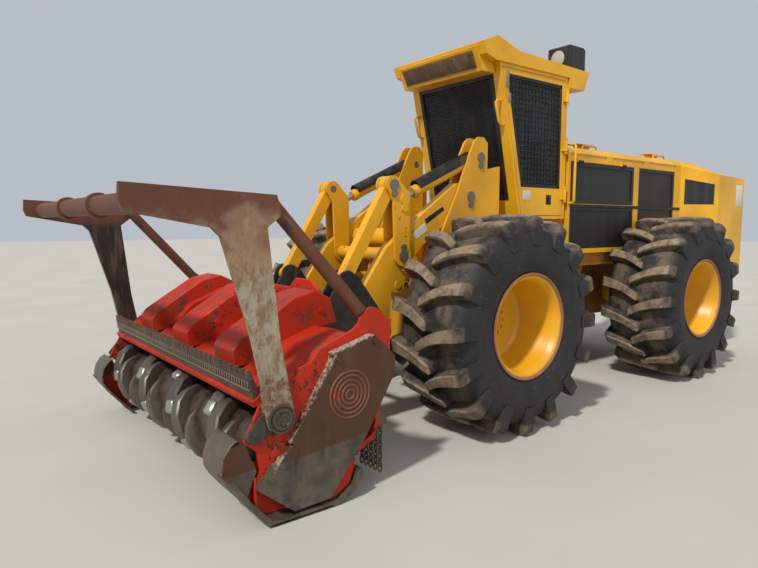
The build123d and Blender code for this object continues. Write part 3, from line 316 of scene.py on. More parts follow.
# Tyres: worn rubber, a smooth carcass with sixteen curved lugs a side that have sloped flanks.
# The carcass is spun. A lug is bridged from its sections, then spun round; tan soil sits on the treads.
class Shape:
    """A mesh in the making; every form in it comes from a bmesh operator."""

    def __init__(self):
        self.mesh = bmesh.new()

    def since(self, before):
        """The vertices that weren't there before."""
        return [vert for vert in self.mesh.verts if vert not in before]

    def everything(self):
        return self.mesh.verts[:] + self.mesh.edges[:] + self.mesh.faces[:]

    def copy(self, geometry):
        """Duplicates a form in place and gives back the copy's vertices."""
        made = bmesh.ops.duplicate(self.mesh, geom=geometry)["geom"]
        return [entry for entry in made if isinstance(entry, bmesh.types.BMVert)]

    def round_edges(self, verts, round_by, segments):
        edges = list({edge for vert in verts for edge in vert.link_edges})
        bmesh.ops.bevel(self.mesh, geom=edges, offset=round_by, offset_type="OFFSET", affect="EDGES",
                        segments=segments, profile=0.5, material=-1, clamp_overlap=True)

    def loop(self, points):
        """The edges of a closed outline."""
        verts = [self.mesh.verts.new(point) for point in points]
        return [self.mesh.edges.new((verts[i - 1], verts[i])) for i in range(len(verts))]

    def join(self, loops):
        """Closed outlines bridged one to the next, with both ends filled."""
        for first, second in zip(loops, loops[1:]):
            bmesh.ops.bridge_loops(self.mesh, edges=first + second)
        for edges in (loops[0], loops[-1]):
            bmesh.ops.edgeloop_fill(self.mesh, edges=edges)

    def box(self, corner, opposite, round_by=0.004, segments=2, place=Matrix()):
        """A bevelled block between two corners."""
        low = Vector(map(min, corner, opposite))
        high = Vector(map(max, corner, opposite))
        size = high - low
        shape = place @ Matrix.Translation((low + high) / 2) @ Matrix.Diagonal((*size, 1.0))
        made = bmesh.ops.create_cube(self.mesh, size=1.0, matrix=shape)
        self.round_edges(made["verts"], min(round_by, min(size) * 0.4), segments)

    def beam(self, start, end, wide, deep, side, round_by=0.004):
        """A bevelled bar from one point to another, its width along a given side."""
        start, end, side = Vector(start), Vector(end), Vector(side)
        ahead = (end - start).normalized()
        side = (side - ahead * side.dot(ahead)).normalized()
        turn = Matrix((side, ahead.cross(side), ahead)).transposed().to_4x4()
        place = Matrix.Translation((start + end) / 2) @ turn
        half = (end - start).length / 2
        self.box((-wide / 2, -deep / 2, -half), (wide / 2, deep / 2, half), round_by, place=place)

    def slab(self, points, across, round_by=0.0, segments=2):
        """An outline filled, extruded by a vector and bevelled all round."""
        verts = [self.mesh.verts.new(point) for point in points]
        face = self.mesh.faces.new(verts)
        made = bmesh.ops.extrude_face_region(self.mesh, geom=[face])
        moved = [entry for entry in made["geom"] if isinstance(entry, bmesh.types.BMVert)]
        bmesh.ops.translate(self.mesh, verts=moved, vec=Vector(across))
        if round_by:
            self.round_edges(verts + moved, round_by, segments)

    def tube(self, points, radius, sides=12):
        """A round bar along a line of points."""
        points = [Vector(point) for point in points]
        loops = []
        for i, point in enumerate(points):
            ahead = (points[min(i + 1, len(points) - 1)] - points[max(i - 1, 0)]).normalized()
            place = Matrix.Translation(point) @ ahead.to_track_quat("Z", "Y").to_matrix().to_4x4()
            made = bmesh.ops.create_circle(self.mesh, segments=sides, radius=radius, matrix=place)
            loops.append(list({edge for vert in made["verts"] for edge in vert.link_edges}))
        self.join(loops)

    def spun(self, profile, centre, axis=(0, 1, 0), steps=48, closed=False):
        """A profile of (along the axis, radius) spun a full turn."""
        centre, axis = Vector(centre), Vector(axis).normalized()
        out = axis.orthogonal().normalized()
        verts = [self.mesh.verts.new(centre + axis * along + out * radius) for along, radius in profile]
        pairs = list(zip(verts, verts[1:])) + ([(verts[-1], verts[0])] if closed else [])
        edges = [self.mesh.edges.new(pair) for pair in pairs]
        bmesh.ops.spin(self.mesh, geom=verts + edges, cent=centre, axis=axis, angle=2 * math.pi,
                       steps=steps, use_merge=True, use_duplicate=False)

    def bolt(self, middle, axis, foot, head, height):
        """A six-sided bolt head, a little narrower at its top."""
        self.spun([(0.0, 0.0), (0.0, foot), (height, head), (height, 0.0)], middle, axis, steps=6)

    def ring(self, centre, axis, radius, wire, steps=24, sides=6):
        """A ring of round wire; gives back its vertices."""
        before = set(self.mesh.verts)
        turns = [2 * math.pi * k / sides for k in range(sides)]
        profile = [(wire * math.sin(turn), radius + wire * math.cos(turn)) for turn in turns]
        self.spun(profile, centre, axis, steps, closed=True)
        return self.since(before)

    def piece(self, name, body, material, slot, sharp=38.0):
        """Closes the mesh up and puts it on a body of the machine."""
        bmesh.ops.remove_doubles(self.mesh, verts=self.mesh.verts, dist=0.0001)
        bmesh.ops.recalc_face_normals(self.mesh, faces=self.mesh.faces)
        for face in self.mesh.faces:
            face.smooth = True
        data = bpy.data.meshes.new(name)
        self.mesh.to_mesh(data)
        self.mesh.free()
        data.set_sharp_from_angle(angle=math.radians(sharp))
        data.materials.append(material)
        made = bpy.data.objects.new(name, data)
        bpy.context.scene.collection.objects.link(made)
        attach(made, body)
        return made


def second_wear_and_shade(material, mask, paint, under, chips, gloss):
    """Lays another worn surface over a material where the mask says; it also lays painted shade."""
    tree = material.node_tree
    over = tree.nodes.new("ShaderNodeGroup")
    over.node_tree = worn
    for socket, value in (("Paint", srgb(*paint)), ("Under", srgb(*under)), ("Chips", chips),
                          ("Gloss", gloss)):
        over.inputs[socket].default_value = value
    shader = tree.nodes["Principled BSDF"]
    below = shader.inputs["Base Color"].links[0].from_socket
    tree.links.new(mix_colors(tree, mask, below, over.outputs["Color"]), shader.inputs["Base Color"])


def away_from(tree, x, z, centre):
    """The distance from a crosswise axis through a point."""
    run = calc(tree, "POWER", calc(tree, "SUBTRACT", x, centre.x), 2.0)
    rise = calc(tree, "POWER", calc(tree, "SUBTRACT", z, centre.z), 2.0)
    return calc(tree, "SQRT", calc(tree, "ADD", run, rise))


front_axle_x, rear_axle_x, track_half, axle_height = 1.0, -2.063, 1.062, 0.915
wheels = {}
for end, axle_x in (("front", front_axle_x), ("rear", rear_axle_x)):
    for side, hand in (("left", 1), ("right", -1)):
        wheels[end + "_" + side] = (Vector((axle_x, hand * track_half, axle_height)), hand)
lug_count = 16
lug_reach = 0.87
carcass = [(0.340, 0.447), (0.356, 0.470), (0.370, 0.52), (0.381, 0.58), (0.384, 0.64), (0.374, 0.71),
           (0.350, 0.765), (0.318, 0.800), (0.270, 0.818), (0.18, 0.826), (0.06, 0.830)]
carcass = carcass + [(-along, r) for along, r in reversed(carcass)] + [(-0.335, 0.415), (0.335, 0.415)]
lug_sections = [
    # along from the tyre's middle, lean in degrees, half width at the root and on top, top, root
    (-0.058, 8.2, 0.044, 0.024, 0.886, 0.815),
    (-0.044, 7.8, 0.052, 0.033, 0.909, 0.815),
    (0.020, 5.5, 0.056, 0.035, 0.9150, 0.815),
    (0.100, 2.8, 0.057, 0.036, 0.9150, 0.812),
    (0.200, 0.7, 0.060, 0.039, 0.9145, 0.805),
    (0.290, -0.6, 0.066, 0.043, 0.910, 0.785),
    (0.345, -1.2, 0.071, 0.047, 0.900, 0.750),
    (0.378, -1.7, 0.074, 0.049, 0.884, 0.705),
    (0.388, -2.0, 0.070, 0.046, 0.862, 0.665),
]
for wheel, (centre, hand) in wheels.items():
    tyre = Shape()
    for side in (1, -1):
        before = set(tyre.mesh.verts)
        half_step = math.pi / lug_count if side < 0 else 0.0
        loops = []
        for along, lean, root_half, top_half, top, root in lug_sections:
            flank = [(top_half, top), (top_half + 0.007, top - 0.016), (root_half, root)]
            outline = []
            for across, r in [(-across, r) for across, r in reversed(flank)] + flank:
                angle = math.radians(lean) + across / lug_reach + half_step
                run, rise = r * math.sin(angle), r * math.cos(angle)
                outline.append(centre + Vector((run, hand * side * along, rise)))
            loops.append(tyre.loop(outline))
        tyre.join(loops)
        lug = tyre.since(before)
        edges = {edge for vert in lug for edge in vert.link_edges}
        faces = {face for vert in lug for face in vert.link_faces}
        bmesh.ops.spin(tyre.mesh, geom=[*lug, *edges, *faces], cent=centre, axis=(0, 1, 0),
                       angle=2 * math.pi, steps=lug_count, use_merge=True, use_duplicate=True)
    tyre.spun(carcass, centre, steps=96, closed=True)
    rubber = worn_material("rubber_" + wheel, (27, 27, 29), (54, 51, 48), chips=0.14, streaks=0.10,
                           low_dust=0.10, gloss=0.70, bump=0.5, dust=(100, 88, 76))
    tree = rubber.node_tree
    x, y, z, coords = object_axes(tree)
    reach = away_from(tree, x, z, centre)
    off_centre = calc(tree, "ABSOLUTE", calc(tree, "SUBTRACT", y, centre.y))
    on_tread = product(tree, ramp(tree, reach, 0.880, 0.904), ramp(tree, off_centre, 0.382, 0.335),
                       ramp(tree, noise(tree, coords, 9.0, 8.0, 0.75), 0.34, 0.58, 0.25, 1.0))
    between = product(tree, ramp(tree, reach, 0.79, 0.83, 0.0, 0.45),
                      ramp(tree, noise(tree, coords, 5.0, 6.0, 0.7), 0.38, 0.62))
    second_wear_and_shade(rubber, calc(tree, "MAXIMUM", on_tread, between), (138, 118, 94), (92, 78, 64), 0.35, 0.9)
    scratches = noise(tree, stretched(tree, coords, (1.0, 1.0, 3.0)), 9.0, 9.0, 0.85)
    scratches = product(tree, ramp(tree, scratches, 0.585, 0.62, 0.0, 0.5),
                        ramp(tree, off_centre, 0.25, 0.34))
    second_wear_and_shade(rubber, scratches, (96, 92, 88), (70, 66, 62), 0.2, 0.8)
    tread = tyre.piece("tread_" + wheel, "wheel_" + wheel, rubber, "tyre", sharp=32.0)
    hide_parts("tyre_" + wheel)

# Rims: pressed steel bowls in yellow, with a stepped wall, a disc far inside and a ring of small nuts.
# Each is spun from one profile; the flange is rubbed to a coppery rust by the tyre's bead.
bowl = [(-0.062, 0.0), (-0.062, 0.085), (-0.048, 0.095), (-0.048, 0.150), (-0.062, 0.165), (-0.062, 0.290),
        (-0.050, 0.325), (-0.030, 0.343), (0.060, 0.352), (0.078, 0.366), (0.285, 0.374), (0.305, 0.388),
        (0.326, 0.396), (0.338, 0.404), (0.347, 0.419), (0.354, 0.424), (0.358, 0.432), (0.356, 0.441),
        (0.343, 0.442), (0.341, 0.406), (-0.341, 0.406), (-0.341, 0.441), (-0.358, 0.441), (-0.358, 0.386),
        (-0.090, 0.376), (-0.088, 0.190), (-0.258, 0.190), (-0.258, 0.1405), (-0.088, 0.1405), (-0.088, 0.0)]
nut_count = 12
nut_circle = 0.122
for wheel, (centre, hand) in wheels.items():
    rim = Shape()
    rim.spun([(hand * along, r) for along, r in bowl], centre, steps=72)
    for count in range(nut_count):
        angle = 2 * math.pi * count / nut_count
        nut = centre + Vector((nut_circle * math.cos(angle), -hand * 0.052, nut_circle * math.sin(angle)))
        rim.tube([nut, nut + Vector((0, hand * 0.024, 0))], 0.013, sides=6)
    bowl_yellow = worn_material("rim_yellow_" + wheel, (228, 166, 8), (140, 88, 34), chips=0.14, streaks=0.12,
                                low_dust=0.2, gloss=0.36)
    tree = bowl_yellow.node_tree
    x, y, z, coords = object_axes(tree)
    reach = calc(tree, "MULTIPLY_ADD", noise(tree, coords, 14.0, 5.0), 0.012, away_from(tree, x, z, centre))
    second_wear_and_shade(bowl_yellow, ramp(tree, reach, 0.414, 0.424), (146, 92, 52), (96, 58, 38), 0.35, 0.5)
    rim = rim.piece("bowl_" + wheel, "wheel_" + wheel, bowl_yellow, "yellow")
    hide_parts("rim_" + wheel)

# Window guards: black steel frames with a square mesh of bars, bolted over the side windows' panes.
# Bars and frame members are bevelled blocks; the frame's front member follows the window's slant.
guard_paint = worn_material("window_guard", (13, 13, 14), (48, 44, 40), chips=0.06, streaks=0.08,
                            low_dust=0.0, gloss=0.5)
window_low, window_high = 2.11, 3.16
window_back, window_foot, window_head = -0.44, 0.184, 0.426
bar_half = 0.0045
rail_half = 0.017
columns, rows = 17, 21


def window_front(height):
    """The slanted front edge of the side windows at a height."""
    return window_foot + (height - window_low) / (window_high - window_low) * (window_head - window_foot)


side_guards = (
    # body, name, the mesh's two faces across the machine
    ("cab_door", "door_mesh", 0.6075, 0.6175),
    ("rear_frame", "right_mesh", -0.6175, -0.6075),
)
for body, name, near, far in side_guards:
    mesh = Shape()
    for count in range(1, columns):
        x = window_back + count * (window_head - window_back) / columns
        foot = window_low
        if x > window_foot:
            foot = window_low + (x - window_foot) / (window_head - window_foot) * (window_high - window_low)
        mesh.box((x - bar_half, near + 0.001, foot + 0.005), (x + bar_half, far - 0.004, window_high - 0.005),
                 0.001, 1)
    for count in range(1, rows):
        height = window_low + count * (window_high - window_low) / rows
        mesh.box((window_back + 0.005, near + 0.004, height - bar_half),
                 (window_front(height) - 0.004, far - 0.001, height + bar_half), 0.001, 1)
    middle = (near + far) / 2
    corners = [(window_back, window_low), (window_foot, window_low), (window_head, window_high),
               (window_back, window_high)]
    inward = [(0, 1), (-1, 0.23), (0, -1), (1, 0)]
    for (x_from, z_from), (x_to, z_to), (dx, dz) in zip(corners, corners[1:] + corners[:1], inward):
        mesh.beam((x_from + dx * rail_half, middle, z_from + dz * rail_half),
                  (x_to + dx * rail_half, middle, z_to + dz * rail_half),
                  far - near, 2 * rail_half, (0, 1, 0), 0.002)
    mesh.piece(name, body, guard_paint, "black")

# Front screen: the same black steel bars in a finer mesh, in a wide frame on the cab's slanted front face.
# Bars and frame members are bevelled blocks along the slant.
cab_slant = 0.2276


def cab_front(height, y=0.0, proud=0.0):
    """A point on the cab's slanted front face, or a little ahead of it."""
    return Vector((0.2 + (height - 1.8) * cab_slant + proud, y, height))


screen = Shape()
lean = Vector((cab_slant, 0, 1)).normalized()
upright_count, level_count = 48, 52
for count in range(1, upright_count):
    y = -0.52 + count * 1.04 / upright_count
    screen.beam(cab_front(2.005, y, -0.007), cab_front(3.145, y, -0.007), 0.007, 0.005, (0, 1, 0), 0.001)
for count in range(1, level_count):
    height = 2.0 + count * 1.15 / level_count
    screen.beam(cab_front(height, -0.518, -0.007), cab_front(height, 0.518, -0.007), 0.007, 0.005, lean,
                0.001)
for y in (-0.498, 0.498):
    screen.beam(cab_front(1.985, y, 0.001), cab_front(3.165, y, 0.001), 0.046, 0.012, (0, 1, 0), 0.003)
for height in (2.005, 3.145):
    screen.beam(cab_front(height, -0.475, 0.001), cab_front(height, 0.475, 0.001), 0.046, 0.012, lean, 0.003)
screen.piece("front_mesh", "rear_frame", guard_paint, "black")

# Handles and rails: bent yellow round bar, welded to the front cab posts, beside the door and on the hood.
# The two on the hood stand by an inverted trapezoid bracket with a flat top plate.
rails = Shape()
for y in (0.572, -0.572):
    foot, head = cab_front(2.69).x, cab_front(2.91).x
    rails.tube([(foot - 0.004, y, 2.69), (foot + 0.050, y, 2.695), (foot + 0.070, y, 2.715),
                (head + 0.072, y, 2.885), (head + 0.052, y, 2.905), (head - 0.004, y, 2.91)], 0.013)
rails.tube([(-0.585, 0.638, 2.575), (-0.585, 0.690, 2.575), (-0.580, 0.706, 2.558), (-0.572, 0.706, 1.985),
            (-0.572, 0.690, 1.968), (-0.572, 0.600, 1.968)], 0.014)
hood_top = 2.556
for x in (-1.20, -2.75):
    rails.slab([(x - 0.10, 0.35, hood_top), (x + 0.10, 0.35, hood_top), (x + 0.17, 0.35, 2.640),
                (x - 0.17, 0.35, 2.640)], (0, 0.012, 0), 0.002)
    rails.box((x - 0.18, 0.30, 2.636), (x + 0.18, 0.41, 2.650), 0.004)
    rails.tube([(x - 0.14, 0.46, hood_top), (x - 0.14, 0.46, 2.600), (x - 0.12, 0.46, 2.622),
                (x + 0.12, 0.46, 2.622), (x + 0.14, 0.46, 2.600), (x + 0.14, 0.46, hood_top)], 0.011)
rails.piece("hand_rails", "rear_frame", yellow, "yellow")

# Door fittings: a black latch recess with its lever, and steel hinge straps with round pin ends.
# All are small bevelled blocks screwed to the door's skin.
latch = Shape()
latch.box((-0.300, 0.612, 1.945), (-0.215, 0.6235, 2.045), 0.010)
latch.box((-0.272, 0.620, 1.965), (-0.243, 0.632, 2.028), 0.006)
latch.piece("door_latch", "cab_door", guard_paint, "black")
strap_steel = worn_material("strap_steel", (150, 140, 120), (120, 84, 52), chips=0.3, gloss=0.5, metal=0.4)
straps = Shape()
for low, high in ((3.03, 3.19), (2.90, 2.98)):
    edge = cab_front(low).x
    straps.box((edge - 0.075, 0.617, low), (edge - 0.045, 0.634, high), 0.004)
    straps.tube([(edge - 0.060, 0.634, low + 0.02), (edge - 0.060, 0.640, low + 0.02)], 0.010)
straps.piece("door_straps", "cab_door", strap_steel, "steel")

# Blank plates: thin white sheets on the door, the hood's rear end and the left arm, and a dark strip.
# Each is a bevelled sheet stuck to the paint; the strip lies behind the arm's plate.
plate_white = worn_material("blank_plate", (206, 204, 196), (150, 140, 120), chips=0.12, streaks=0.2,
                            low_dust=0.0, gloss=0.4, bump=0.05)
for name, body, low, high in (
        ("door_plate", "cab_door", (0.035, 0.6185, 1.985), (0.150, 0.6225, 2.075)),
        ("rear_plate", "rear_frame", (-4.12, 0.9485, 1.98), (-3.93, 0.9525, 2.27))):
    plate = Shape()
    plate.box(low, high, 0.003)
    plate.piece(name, body, plate_white, "steel")
arm_face = 0.4985
for name, material, slot, outline in (
        ("arm_plate", plate_white, "steel",
         [(1.479, 1.666), (1.349, 1.755), (1.308, 1.693), (1.440, 1.614)]),
        ("arm_strip", guard_paint, "black",
         [(1.346, 1.787), (1.124, 1.905), (1.106, 1.873), (1.322, 1.747)])):
    plate = Shape()
    plate.slab([(x, arm_face, z) for x, z in outline], (0, 0.0035, 0), 0.001, 1)
    plate.piece(name, "boom", material, slot)

# Hood seams: black rubber strips along the foot of the hood's side, one on each side.
# Each is a bevelled strip pressed between hood and frame.
seam = Shape()
for hand in (1, -1):
    seam.box((-3.00, hand * 0.6385, 1.925), (-0.600, hand * 0.6455, 1.960), 0.003)
seam.piece("hood_seams", "rear_frame", guard_paint, "black")

# Visor panel: a brown steel sheet under the visor's lip, held by ten round bolts; its brown is partly painted
# shade.
# It is a bevelled slab on the slanted visor, and each bolt is spun.
# Painted shade: the panel's dark brown also stands in for the shade on the cab's front face.
visor_brown_shade = worn_material("visor_panel", (84, 62, 40), (58, 44, 32), chips=0.3, streaks=0.4, low_dust=0.0,
                            gloss=0.7, bump=0.4)
visor = Shape()
lower, upper = Vector((0.7005, 0, 3.185)), Vector((0.777, 0, 3.328))
visor_out = Vector((0.882, 0, -0.471))
up = (upper - lower).normalized() * 0.008
visor.slab([lower + up + Vector((0, y, 0)) for y in (-0.489, 0.489)]
           + [upper - up + Vector((0, y, 0)) for y in (0.489, -0.489)], visor_out * 0.008, 0.003)
for y in (-0.45, -0.225, 0.0, 0.225, 0.45):
    for share in (0.15, 0.85):
        middle = lower.lerp(upper, share) + Vector((0, y, 0)) + visor_out * 0.006
        visor.spun([(0.0, 0.0), (0.0, 0.009), (0.006, 0.008), (0.007, 0.0)], middle, visor_out, steps=12)
visor.piece("visor_panel", "rear_frame", visor_brown_shade, "rust")

# Roof lamp: a round glass with a sloped rim, let into the front of the roof box.
# Glass and rim are spun from one profile.
lamp_glass = worn_material("lamp_glass", (176, 174, 164), (130, 126, 116), chips=0.1, streaks=0.1,
                           low_dust=0.0, gloss=0.15, bump=0.05)
lamp = Shape()
lamp.spun([(-0.016, 0.0), (-0.010, 0.070), (0.0, 0.082), (0.004, 0.075), (0.004, 0.0)],
          (-0.5485, 0.47, 3.475), (1, 0, 0), steps=32)
lamp.piece("roof_lamp", "rear_frame", lamp_glass, "glass")

# Tilt cylinders: yellow barrel sleeves with a gland flange, under black half-round steel guards.
# Sleeve and flange are spun; each guard is an arc extruded along the cylinder.
guard_black = worn_material("cylinder_guard", (16, 16, 17), (70, 64, 58), chips=0.16, streaks=0.15,
                            low_dust=0.0, gloss=0.5)
cylinder_y = 0.455
guard_base, guard_tip = Vector((0.667, 0.0, 2.369)), Vector((1.604, 0.0, 1.951))
guard_way = (guard_tip - guard_base).normalized()
guard_up = Vector((-guard_way.z, 0.0, guard_way.x))
arc = [(0.064, angle) for angle in range(-12, 193, 12)] + [(0.058, angle) for angle in range(192, -13, -12)]
sleeve = [(0.100, 0.0), (0.100, 0.046), (0.104, 0.050), (0.800, 0.050), (0.802, 0.056), (0.838, 0.056),
          (0.842, 0.048), (0.850, 0.034), (0.850, 0.0)]
sleeves = Shape()
for side, hand in (("left", 1), ("right", -1)):
    base = guard_base + Vector((0, hand * cylinder_y, 0))
    start = base + guard_way * 0.085 + guard_up * 0.030
    guard = Shape()
    guard.slab([start + Vector((0, r * math.cos(math.radians(angle)), 0)) + guard_up * r
                * math.sin(math.radians(angle)) for r, angle in arc], guard_way * 0.72)
    guard.piece("cylinder_guard_" + side, "tilt_barrels", guard_black, "black")
    sleeves.spun(sleeve, base, guard_way, steps=32)
sleeves.piece("barrel_sleeves", "tilt_barrels", yellow_worn, "yellow")

# Head housing and side plates: welded steel in red paint, scratched through to rusty steel.
# Brush has rubbed the housing's top in brown patches; the side plates keep more of their paint.
red = worn_material("red_paint", (184, 38, 8), (66, 42, 32), chips=0.50, streaks=0.35, low_dust=0.2,
                    gloss=0.56, bump=0.35, dust=(112, 64, 42))
red.node_tree.nodes["Principled BSDF"].inputs["Specular IOR Level"].default_value = 0.3
tree = red.node_tree
x, y, z, coords = object_axes(tree)
rubbed = ramp(tree, noise(tree, stretched(tree, coords, (1.0, 2.6, 1.0)), 5.5, 8.0, 0.78), 0.53, 0.60)
top_only = product(tree, ramp(tree, z, 0.70, 0.82), ramp(tree, calc(tree, "ABSOLUTE", y), 1.399, 1.395))
second_wear_and_shade(red, product(tree, rubbed, top_only), (98, 52, 36), (64, 42, 34), 0.4, 0.6)
paint_nodes(red, "head_housing", "head_side_plates")

# Box ribs: three welded steel boxes in the housing's red paint behind the toothed plate, and the rear wall.
# Boxes and wall are bevelled slabs with bolts, the wall's in a row along its foot.
ribs = Shape()
rib_outline = [(2.580, 1.050), (2.640, 1.230), (2.760, 1.290), (2.930, 1.255), (3.330, 1.010),
               (3.385, 0.950), (3.375, 0.830), (3.250, 0.850), (3.060, 0.900), (2.779, 1.020)]
rib_width = 0.300
for y in (-0.80, 0.0, 0.80):
    ribs.slab([(x, y - rib_width / 2, z) for x, z in rib_outline], (0, rib_width, 0), 0.009, 1)
    for x, z in ((3.300, 0.925), (3.140, 1.010), (2.720, 1.150)):
        ribs.bolt((x, y + rib_width / 2 - 0.001, z), (0, 1, 0), 0.022, 0.020, 0.012)
wall = [(-0.64, 0.98), (0.64, 0.98), (0.64, 1.25), (0.52, 1.32), (0.30, 1.32), (0.20, 1.24), (-0.20, 1.24),
        (-0.30, 1.32), (-0.52, 1.32), (-0.64, 1.25)]
ribs.slab([(2.520, y, z) for y, z in wall], (0.030, 0, 0), 0.004, 1)
for count in range(9):
    ribs.bolt((2.558, -0.56 + count * 0.14, 0.98), (1, 0, 0), 0.018, 0.016, 0.012)
ribs.piece("box_ribs", "head", red, "red", sharp=20.0)

# Head brackets: thick steel plates in black paint that hang the housing on its hinge.
# They reach up from the housing's rear wall.
bracket_black = worn_material("bracket_black", (34, 34, 36), (84, 66, 52), chips=0.22, streaks=0.2,
                              low_dust=0.3, gloss=0.5, metal=0.2)
paint_nodes(bracket_black, "head_brackets")

# Toothed plate: hard steel that has lost nearly all of its red paint, fixed to the housing's front edge.
# Brush has drawn long dark and pale lines along its front, with the machine's width.
plate_brown = worn_material("toothed_plate", (84, 58, 44), (142, 50, 30), chips=0.20, streaks=0.2,
                            low_dust=0.1, gloss=0.6, metal=0.3, bump=0.5)
tree = plate_brown.node_tree
coords = object_axes(tree)[-1]
lines = noise(tree, stretched(tree, coords, (1.0, 0.35, 16.0)), 4.0, 5.0, 0.7)
second_wear_and_shade(plate_brown, ramp(tree, lines, 0.52, 0.60), (46, 34, 28), (60, 42, 32), 0.2, 0.7)
second_wear_and_shade(plate_brown, ramp(tree, lines, 0.42, 0.36, 0.0, 0.6), (126, 104, 86), (112, 62, 44), 0.3, 0.5)
paint_nodes(plate_brown, "toothed_plate")

# Serrated strip: a row of short steel ridges welded over a flat bar on the toothed plate's front.
# Each ridge is a bevelled block on the slanted plate.
strip_steel = worn_material("serrated_strip", (122, 112, 100), (84, 60, 46), chips=0.35, streaks=0.2,
                            low_dust=0.1, gloss=0.5, metal=0.4)
strip = Shape()
plate_out, plate_up = Vector((0.985, 0, -0.173)), Vector((0.173, 0, 0.985))
plate_top = Vector((3.485, 0, 0.905))
ridge_count, ridge_pitch = 78, 0.035
for count in range(ridge_count):
    foot = plate_top + plate_up * -0.098 + plate_out * 0.004 + Vector((0, -1.348 + count * ridge_pitch, 0))
    strip.beam(foot, foot + plate_up * 0.042 + Vector((0, 0.008, 0)), 0.016, 0.012, (0, 1, 0), 0.003)
foot = plate_top + plate_up * -0.110 + plate_out * 0.004
strip.beam(foot + Vector((0, -1.365, 0)), foot + Vector((0, 1.365, 0)), 0.014, 0.012, plate_up, 0.003)
strip.piece("serrated_strip", "head", strip_steel, "steel")

# Push frame: a rust-brown steel tube on two welded legs, whose outer faces are scraped to a pale grey.
# The scraping fades in below the elbow, and the legs' inner faces get a painted shade.
push_rust = worn_material("push_frame", (104, 62, 44), (66, 42, 32), chips=0.35, streaks=0.35, low_dust=0.1,
                          gloss=0.62, metal=0.25, bump=0.5, dust=(122, 84, 58))
tree = push_rust.node_tree
x, y, z, coords = object_axes(tree)
on_leg = ramp(tree, x, 3.20, 3.24)
outward = calc(tree, "ABSOLUTE", y)
edge = calc(tree, "MULTIPLY_ADD", noise(tree, coords, 3.5, 5.0, 0.65), 0.9, -0.45)
scraped = product(tree, ramp(tree, calc(tree, "ADD", z, edge), 1.86, 1.50), on_leg,
                  ramp(tree, outward, 1.4255, 1.4275))
second_wear_and_shade(push_rust, scraped, (160, 152, 134), (118, 84, 50), 0.50, 0.6)
at_elbow = product(tree, scraped, ramp(tree, z, 1.30, 1.62, 0.0, 0.65))
second_wear_and_shade(push_rust, at_elbow, (146, 104, 64), (112, 70, 46), 0.5, 0.6)
stains = noise(tree, stretched(tree, coords, (1.0, 1.0, 0.5)), 15.0, 9.0, 0.76)
stains = product(tree, scraped, ramp(tree, stains, 0.42, 0.60, 0.0, 0.85))
second_wear_and_shade(push_rust, stains, (124, 88, 50), (86, 60, 42), 0.45, 0.7)
# Painted shade: the legs' inner faces below the top are darkened to stand in for the shade they lie in.
painted_shade = product(tree, ramp(tree, outward, 1.4275, 1.4255), ramp(tree, z, 1.80, 1.70), on_leg)
second_wear_and_shade(push_rust, painted_shade, (40, 31, 27), (62, 44, 34), 0.3, 0.8)
paint_nodes(push_rust, "push_frame")

# Push frame feet: a big turned steel boss with two bolts on each leg, and a black bracket ahead of it.
# Bosses and bolts are spun; the bracket is a bevelled slab bolted to the side plate.
foot_steel = worn_material("foot_steel", (78, 74, 70), (70, 54, 44), chips=0.35, streaks=0.2, low_dust=0.2,
                           gloss=0.42, metal=0.5, bump=0.5)
side_plate_face = 1.425
boss = [(0.0, 0.0), (0.0, 0.088), (0.010, 0.086), (0.010, 0.074), (0.004, 0.070), (0.004, 0.066),
        (0.020, 0.064), (0.020, 0.046), (0.013, 0.043), (0.013, 0.0)]
bracket = [(3.405, 0.700), (3.470, 0.640), (3.545, 0.550), (3.520, 0.510), (3.440, 0.505), (3.370, 0.560)]
bosses = Shape()
brackets = Shape()
for hand in (1, -1):
    outward = (0, hand, 0)
    middle = Vector((3.322, hand * 1.464, 0.628))
    bosses.spun(boss, middle, outward, steps=40)
    for dz in (0.026, -0.026):
        bosses.bolt(middle + Vector((0, 0, dz)), outward, 0.014, 0.013, 0.0265)
    brackets.slab([(x, hand * (side_plate_face + 0.001), z) for x, z in bracket], (0, hand * 0.026, 0), 0.006)
    for x, z in ((3.430, 0.655), (3.495, 0.570)):
        brackets.bolt((x, hand * (side_plate_face + 0.025), z), outward, 0.020, 0.018, 0.014)
bosses.piece("foot_bosses", "head", foot_steel, "steel")
brackets.piece("foot_brackets", "head", bracket_black, "black")

